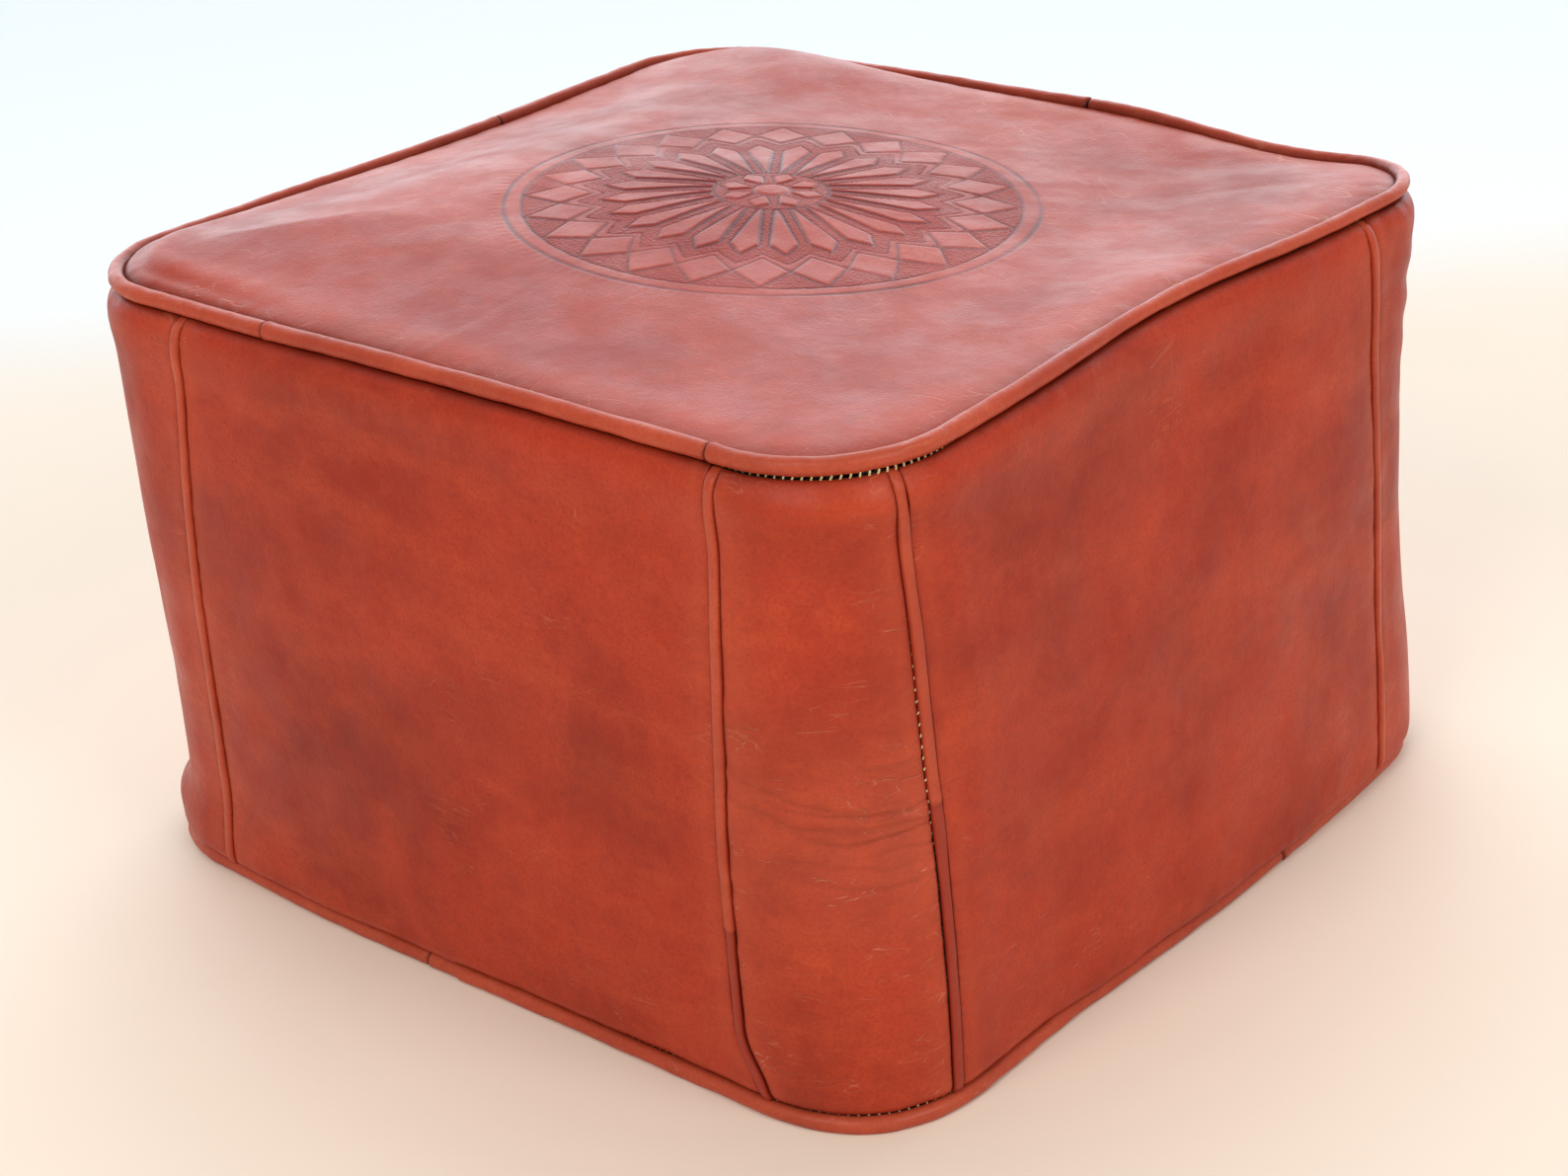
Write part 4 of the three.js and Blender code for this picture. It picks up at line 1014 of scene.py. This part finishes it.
def make_base_panel(name, side):
    """One half of the base. side is -1 at the front and 1 at the back."""
    reach_x, reach_y = HALF_X - PIPING_EDGE, HALF_Y - PIPING_EDGE
    corner = CORNER_RADIUS - PIPING_EDGE
    turn = np.linspace(-math.pi / 2, math.pi / 2, 241)
    columns = reach_x * (0.25 * np.sin(turn) + 0.75 * turn / (math.pi / 2))
    beyond = np.clip(np.abs(columns) - (reach_x - corner), 0, corner)
    outer = reach_y - corner + np.sqrt(np.clip(corner**2 - beyond**2, 0, None))
    in_slot = smooth((columns - SLOT_FROM) / 0.003) * smooth((SLOT_TO - columns) / 0.003)
    inner = 0.0004 + SLOT_HALF * in_slot
    rows = spaced(0.0, 1.0, 0.011, 0.003, 0.03)
    y = side * (inner + (outer - inner) * rows[:, None])
    x = np.broadcast_to(columns, y.shape)
    depth = inside_by(x, y) - PIPING_EDGE
    from_inner = np.abs(y) - inner
    rise = smooth(depth / 0.028)
    at = stacked(x, y, 0)
    z = BASE_PIPING_Z - LEATHER / 2 + (BASE_UNDER_TAPE - BASE_PIPING_Z) * rise
    z = z + rise * (0.0006 * noise(at, 0.07, 31) + 0.0002 * noise(at, 0.02, 32))
    z = z + 0.0016 * bell(from_inner, 0.0022) - 0.0004 * bell(from_inner - 0.0045, 0.002)
    z = z + 0.0003 * ripple(0.008, 33, x, 0) * bell(from_inner, 0.012)
    # Darker along the zip slot and towards the edge, as dirt and painted shade.
    grime_and_shade = 0.7 * bell(from_inner, 0.002) + 0.5 * fading(depth, 0.01)
    wear_and_highlight = 0.6 * smooth(noise(at, 0.05, 34)) * bell(depth - 0.02, 0.02)
    faces = grid_faces(*y.shape)
    if side > 0:
        faces = turned_over(faces)
    s = distance_along(x, y)
    inwards = base_drawn_in(s) * bell(depth, 0.03)
    points = xy3(np.stack([x, y], -1) - outline(s)[1] * inwards[..., None], z)
    facts = {"grime_and_shade": grime_and_shade, "wear_and_highlight": wear_and_highlight, "creased": 0.4 + 0 * y}
    made = add_mesh(name.replace("panel", "leather"), points, faces, facts)
    finish_sheet(made, "base_leather", UNDERSIDE, name, BASE_LEATHER)


# ---- The zip ----
ZIP_PITCH = 0.003
CHAIN_HALF = 0.0012
TEETH_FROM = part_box("zip_teeth_front")[0].x + 0.001
CLOSED_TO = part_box("zip_slider")[0].x + 0.009
# Half a tooth seen from below: broad where it grips the bead, waisted, with a rounded head.
HALF_TOOTH = [(0.0042, 0.0006), (0.0042, 0.00085), (0.0022, 0.00085), (0.0012, 0.0005), (0.0003, 0.0005)]
HALF_TOOTH += [(-0.0003, 0.00066), (-0.0009, 0.0005), (-0.0011, 0.0002)]
TOOTH_LEVELS = ((-1.0, 0.8), (-0.82, 1.0), (0.82, 1.0), (1.0, 0.8))
BEAD_AT = 0.0036
STITCHED_AT = 0.0108  # from the middle of the zip to the stitches that hold a tape


def make_teeth(name, side):
    """One half of the zip's teeth, on the beaded edge of its tape."""
    edge = HALF_TOOTH + [(y, -half) for y, half in HALF_TOOTH[::-1]]
    points, faces = [], []
    for place in np.arange(TEETH_FROM + (ZIP_PITCH / 2 if side > 0 else 0), CLOSED_TO, ZIP_PITCH):
        faces += closed_faces(len(TOOTH_LEVELS), len(edge), len(points))
        for level, share in TOOTH_LEVELS:
            z = TAPE_Z + level * CHAIN_HALF
            grown = 0.94 + 0.06 * share
            points += [(place + half * share, side * (0.0015 + (y - 0.0015) * grown), z) for y, half in edge]
    if side > 0:
        faces = turned_over(faces)
    made = add_mesh(name.replace("zip_teeth", "zip_chain"), points, faces, shaded=False)
    finish_piece(made, "pouf", "brass", BRASS, name)


def make_tape(name, side):
    """A zip tape with a beaded inner edge and a selvedge."""
    low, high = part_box(name)
    x = np.linspace(low.x, high.x, 320)
    y = np.concatenate([np.linspace(0.0026, 0.0046, 8), np.linspace(0.0052, 0.0163, 14)])
    across, x = np.meshgrid(y, x)
    bead = 0.0009 * np.sqrt(unit(1 - ((across - BEAD_AT) / 0.0011) ** 2))
    half = np.maximum(bead, 0.00035)
    centre = TAPE_Z + 0.00025 * ripple(0.02, 41, x, across)
    under, over = (np.stack([x, side * across, centre + half * way], -1) for way in (-1, 1))
    ring = np.concatenate([under, over[:, ::-1]], 1)
    faces = closed_faces(*ring.shape[:2])
    if side > 0:
        faces = turned_over(faces)
    made = add_mesh(name + "_woven", ring, faces)
    finish_piece(made, "pouf", "zip_tape", TAPE, name)


def rounded_metal(node, body, edge):
    """The CAD piece with its edges rounded, which a cast or stamped piece has."""
    made = cad_copy(node, node + "_finished")
    with reworked(made) as form:
        bmesh.ops.dissolve_limit(form, angle_limit=math.radians(1), verts=form.verts, edges=form.edges)
    bevel = made.modifiers.new("rounding", "BEVEL")
    bevel.width = edge
    bevel.segments = 3
    bevel.angle_limit = math.radians(35)
    bevel.harden_normals = True
    finish_piece(shade(made), body, "brass", BRASS, node)


def zip_stitches(name, side):
    """The row of stitches that holds a tape under its panel."""
    x = np.arange(SLOT_FROM - 0.006, SLOT_TO + 0.006, 0.0034)
    centres = stacked(x, side * STITCHED_AT, BASE_UNDER_TAPE - LEATHER / 2 - 0.0002)
    along, outs = np.tile([1.0, 0, 0], (len(x), 1)), np.tile(-UP, (len(x), 1))
    stitches(f"zip_stitches_{name}", centres, along, outs, 0.0026, 0.0004, 0.0003, "seam_thread_base")


def make_zip():
    for name, side in (("front", -1), ("back", 1)):
        make_teeth("zip_teeth_" + name, side)
        make_tape("zip_tape_" + name, side)
        rounded_metal("zip_top_stop_" + name, "pouf", 0.0003)
        zip_stitches(name, side)
    rounded_metal("zip_bottom_stop", "pouf", 0.0003)
    rounded_metal("zip_slider", "zip_slider", 0.00022)
    rounded_metal("zip_pull", "zip_pull", 0.0002)


# ---- Inside: the sewn cotton bag and its stuffing ----
VOXEL = 0.006
BAG_CLOTH = 0.0012
BAG_CROWN = 0.015  # how far the middle of the bag's top lies over the seam round it
BAG_PRESSURE = 4.0
BAG_EASE = 0.04  # how much wider than its place the cloth is cut
BAG_SWELL = 0.005  # the most that the filling pushes the cloth out between its seams
BAG_FLOOR_SWELL = 0.0015  # the same underneath, over the zip
SWELLING_FRAMES = 20
STUFFING_SUNK = 0.0027 + BAG_SWELL


def settled(points, sunk):
    """Where the stuffing lies once the cover has settled: sunk is how far under the leather's outer face."""
    x, y, z = np.moveaxis(points, -1, 0)
    s = distance_along(x, y)
    v = unit((z - WALL_FOOT) / WALL_RISE)
    edge = np.exp(-((TOP_PIPING_Z - z) / 0.014)) + np.exp(-(z - BASE_PIPING_Z) / 0.014)
    inwards = drawn_in(s, v) + sunk + 0.006 * unit(edge)
    inwards = inwards * (1 - smooth(inside_by(x, y) / CORNER_RADIUS))
    lowered = (top_surface(x, y, s)[0] - TOP_Z - sunk) * smooth((z - 0.08) / 0.2)
    return xy3(points[:, :2] - outline(s)[1] * inwards[:, None], z + lowered)


def evaluated(made):
    return made.evaluated_get(bpy.context.evaluated_depsgraph_get())


def remesh(made):
    """Gives the piece even small faces."""
    even = made.modifiers.new("even", "REMESH")
    even.mode = "VOXEL"
    even.voxel_size = VOXEL
    mesh = bpy.data.meshes.new_from_object(evaluated(made))
    made.modifiers.clear()
    made.data = mesh


def vertex_values(made, key):
    """The places (co) or normals (normal) of the piece's points."""
    flat = np.empty(len(made.data.vertices) * 3)
    made.data.vertices.foreach_get(key, flat)
    return flat.reshape(-1, 3)


def move_points(made, points):
    made.data.vertices.foreach_set("co", points.ravel())
    made.data.update()


def keep_outer_form(made, centre):
    """Takes the inside off a hollow CAD piece and closes what is left."""
    with reworked(made) as form:
        inner = [face for face in form.faces if face.normal.dot(face.calc_center_median() - centre) < 0.001]
        bmesh.ops.delete(form, geom=inner, context="FACES")
        bmesh.ops.holes_fill(form, edges=form.edges, sides=0)
        bmesh.ops.recalc_face_normals(form, faces=form.faces)


def inflate(made, sewn, furthest):
    """Lets the cloth swell with its filling between the sewn lines; sewn is 1 at points that can't move."""
    rest = vertex_values(made, "co")
    made.vertex_groups.new(name="sewn").add(np.flatnonzero(sewn).tolist(), 1.0, "REPLACE")
    cloth = made.modifiers.new("filling", "CLOTH")
    cloth.settings.vertex_group_mass = "sewn"
    cloth.settings.use_pressure = True
    cloth.settings.uniform_pressure_force = BAG_PRESSURE
    cloth.settings.shrink_min = -BAG_EASE
    cloth.settings.effector_weights.gravity = 0.0
    for number in range(1, SWELLING_FRAMES + 1):
        bpy.context.scene.frame_set(number)
    swollen = np.array([tuple(point.co) for point in evaluated(made).data.vertices])
    made.modifiers.remove(cloth)
    bpy.context.scene.frame_set(1)
    # The filling lets no point sink inwards.
    outwards = vertex_values(made, "normal")
    moved = swollen - rest
    moved = moved - outwards * np.minimum((moved * outwards).sum(axis=1, keepdims=True), 0)
    length = np.linalg.norm(moved, axis=1, keepdims=True)
    move_points(made, rest + moved * np.minimum(1, furthest / np.maximum(length, 1e-9)))


def make_bag():
    """The bag: a box of six cotton panels, sewn along its edges, that swells with its filling."""
    made = cad_copy("cotton_bag", "cotton_bag_sewn")
    keep_outer_form(made, middle("cotton_bag"))
    remesh(made)
    rest = vertex_values(made, "co")
    x, y, z = rest.T
    low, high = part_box("cotton_bag")
    from_seam = np.minimum(np.abs(z - low.z), np.abs(z - (high.z - BAG_CROWN)))
    upright = np.min([np.abs(from_corner(distance_along(x, y), name)) for name in CORNERS], axis=0)
    sewn = (inside_by(x, y) < 0.006) & ((from_seam < 0.005) | (upright < 0.004))
    move_points(made, settled(rest, BAG_CLOTH + BAG_SWELL))
    underneath = z[:, None] < 0.05
    inflate(made, sewn, np.where(underneath, BAG_FLOOR_SWELL, BAG_SWELL))
    solidify(shade(made), BAG_CLOTH)
    finish_piece(made, "pouf", "bag_cotton", COTTON, "cotton_bag")


def make_stuffing():
    """Each stuffed piece is remeshed from its CAD solid, settled with the cover and a little lumpy."""
    make_bag()
    for node, name, material, slot_name, seed in (
        ("wadding_base", "wadding_under", WADDING, "wadding", 52),
        ("wadding_wrap", "wadding_round", WADDING, "wadding", 53),
        ("wadding_top", "wadding_over", WADDING, "wadding", 54),
        ("foam_core", "foam_block", FOAM, "foam", 55),
    ):
        made = cad_copy(node, name)
        remesh(made)
        rest = vertex_values(made, "co")
        lumps = vertex_values(made, "normal") * (0.0007 * (noise(rest, 0.03, seed) - 1))[:, None]
        move_points(made, settled(rest, STUFFING_SUNK) + lumps)
        finish_piece(shade(made), "pouf", slot_name, material, node)


# ---- Camera, floor and light ----
CAMERA_AZIMUTH = 41.8
CAMERA_ELEVATION = 24.8
CAMERA_ROLL = -3.86
CAMERA_DISTANCE = 1.53
CAMERA_LENS = 70.2
CAMERA_AIM = Vector((0.0, 0.0, 0.1043))
LIGHTS_AIM = Vector((0, 0, 0.15))
BEHIND = (-0.67, 0.74, 0.0)  # from the camera past the pouf, along the floor


def make_camera():
    a, e, roll = (math.radians(angle) for angle in (CAMERA_AZIMUTH, CAMERA_ELEVATION, CAMERA_ROLL))
    back = Vector((math.sin(a) * math.cos(e), -math.cos(a) * math.cos(e), math.sin(e)))
    level = Vector((math.cos(a), math.sin(a), 0))
    right = math.cos(roll) * level + math.sin(roll) * back.cross(level)
    camera = bpy.data.objects.new("camera", bpy.data.cameras.new("camera"))
    bpy.context.collection.objects.link(camera)
    camera.data.lens = CAMERA_LENS
    turned = Matrix((right, back.cross(right), back)).transposed().to_4x4()
    camera.matrix_world = Matrix.Translation(CAMERA_AIM + back * CAMERA_DISTANCE) @ turned
    bpy.context.scene.camera = camera


def area_light(name, place, size, power, colour):
    light = bpy.data.objects.new(name, bpy.data.lights.new(name, "AREA"))
    bpy.context.collection.objects.link(light)
    light.data.shape = "DISK"
    light.data.size = size
    light.data.energy = power
    light.data.color = colour
    light.location = place
    light.rotation_euler = (LIGHTS_AIM - Vector(place)).to_track_quat("-Z", "Y").to_euler()


def make_studio():
    floor = add_mesh("floor", [(-8, -8, 0), (8, -8, 0), (8, 8, 0), (-8, 8, 0)], [[0, 1, 2, 3]])
    paint = Paint("pale_floor", roughness=0.7)
    tone = paint.mix(paint.range(paint.cloud(3.0, 4), 0.3, 0.7), rgb(246, 229, 208), rgb(249, 232, 212))
    # Well behind the pouf the floor pales to white.
    far = paint.along(paint.place, BEHIND)
    tone = paint.mix(paint.range(far, 0.55, 0.95), tone, rgb(247, 251, 252))
    floor.data.materials.append(paint.done(tone))
    # The room is brightest behind the pouf, which is what its top mirrors.
    room = Nodes(bpy.data.worlds.new("studio"))
    towards = room.along(room("TexCoord", output="Generated"), (*BEHIND[:2], 0.05))
    strength = room.range(towards, 0.3, 0.92, 0.4, 3.0)
    room.put(room.nodes["Background"], {"Color": (0.88, 0.94, 1.0, 1.0), "Strength": strength})
    bpy.context.scene.world = room.owner
    bpy.context.scene.view_settings.view_transform = "Standard"
    area_light("key", (0.4, -2.3, 2.0), 1.6, 32, (1.0, 0.97, 0.93))
    area_light("side", (2.4, -0.2, 1.6), 1.6, 24, (1.0, 0.97, 0.93))
    area_light("overhead", (-0.3, 0.6, 2.6), 1.8, 7, (1.0, 0.99, 0.97))


make_camera()
make_studio()
make_walls()
make_top()
for seam_name in SEAMS:
    make_upright_piping(seam_name)
    make_upright_stitches(seam_name)
for ring_name in ("top", "base"):
    make_piping(ring_name)
    make_piping_cord(ring_name)
    make_ring_stitches(ring_name)
make_base_panel("base_panel_front", -1)
make_base_panel("base_panel_back", 1)
make_zip()
make_stuffing()
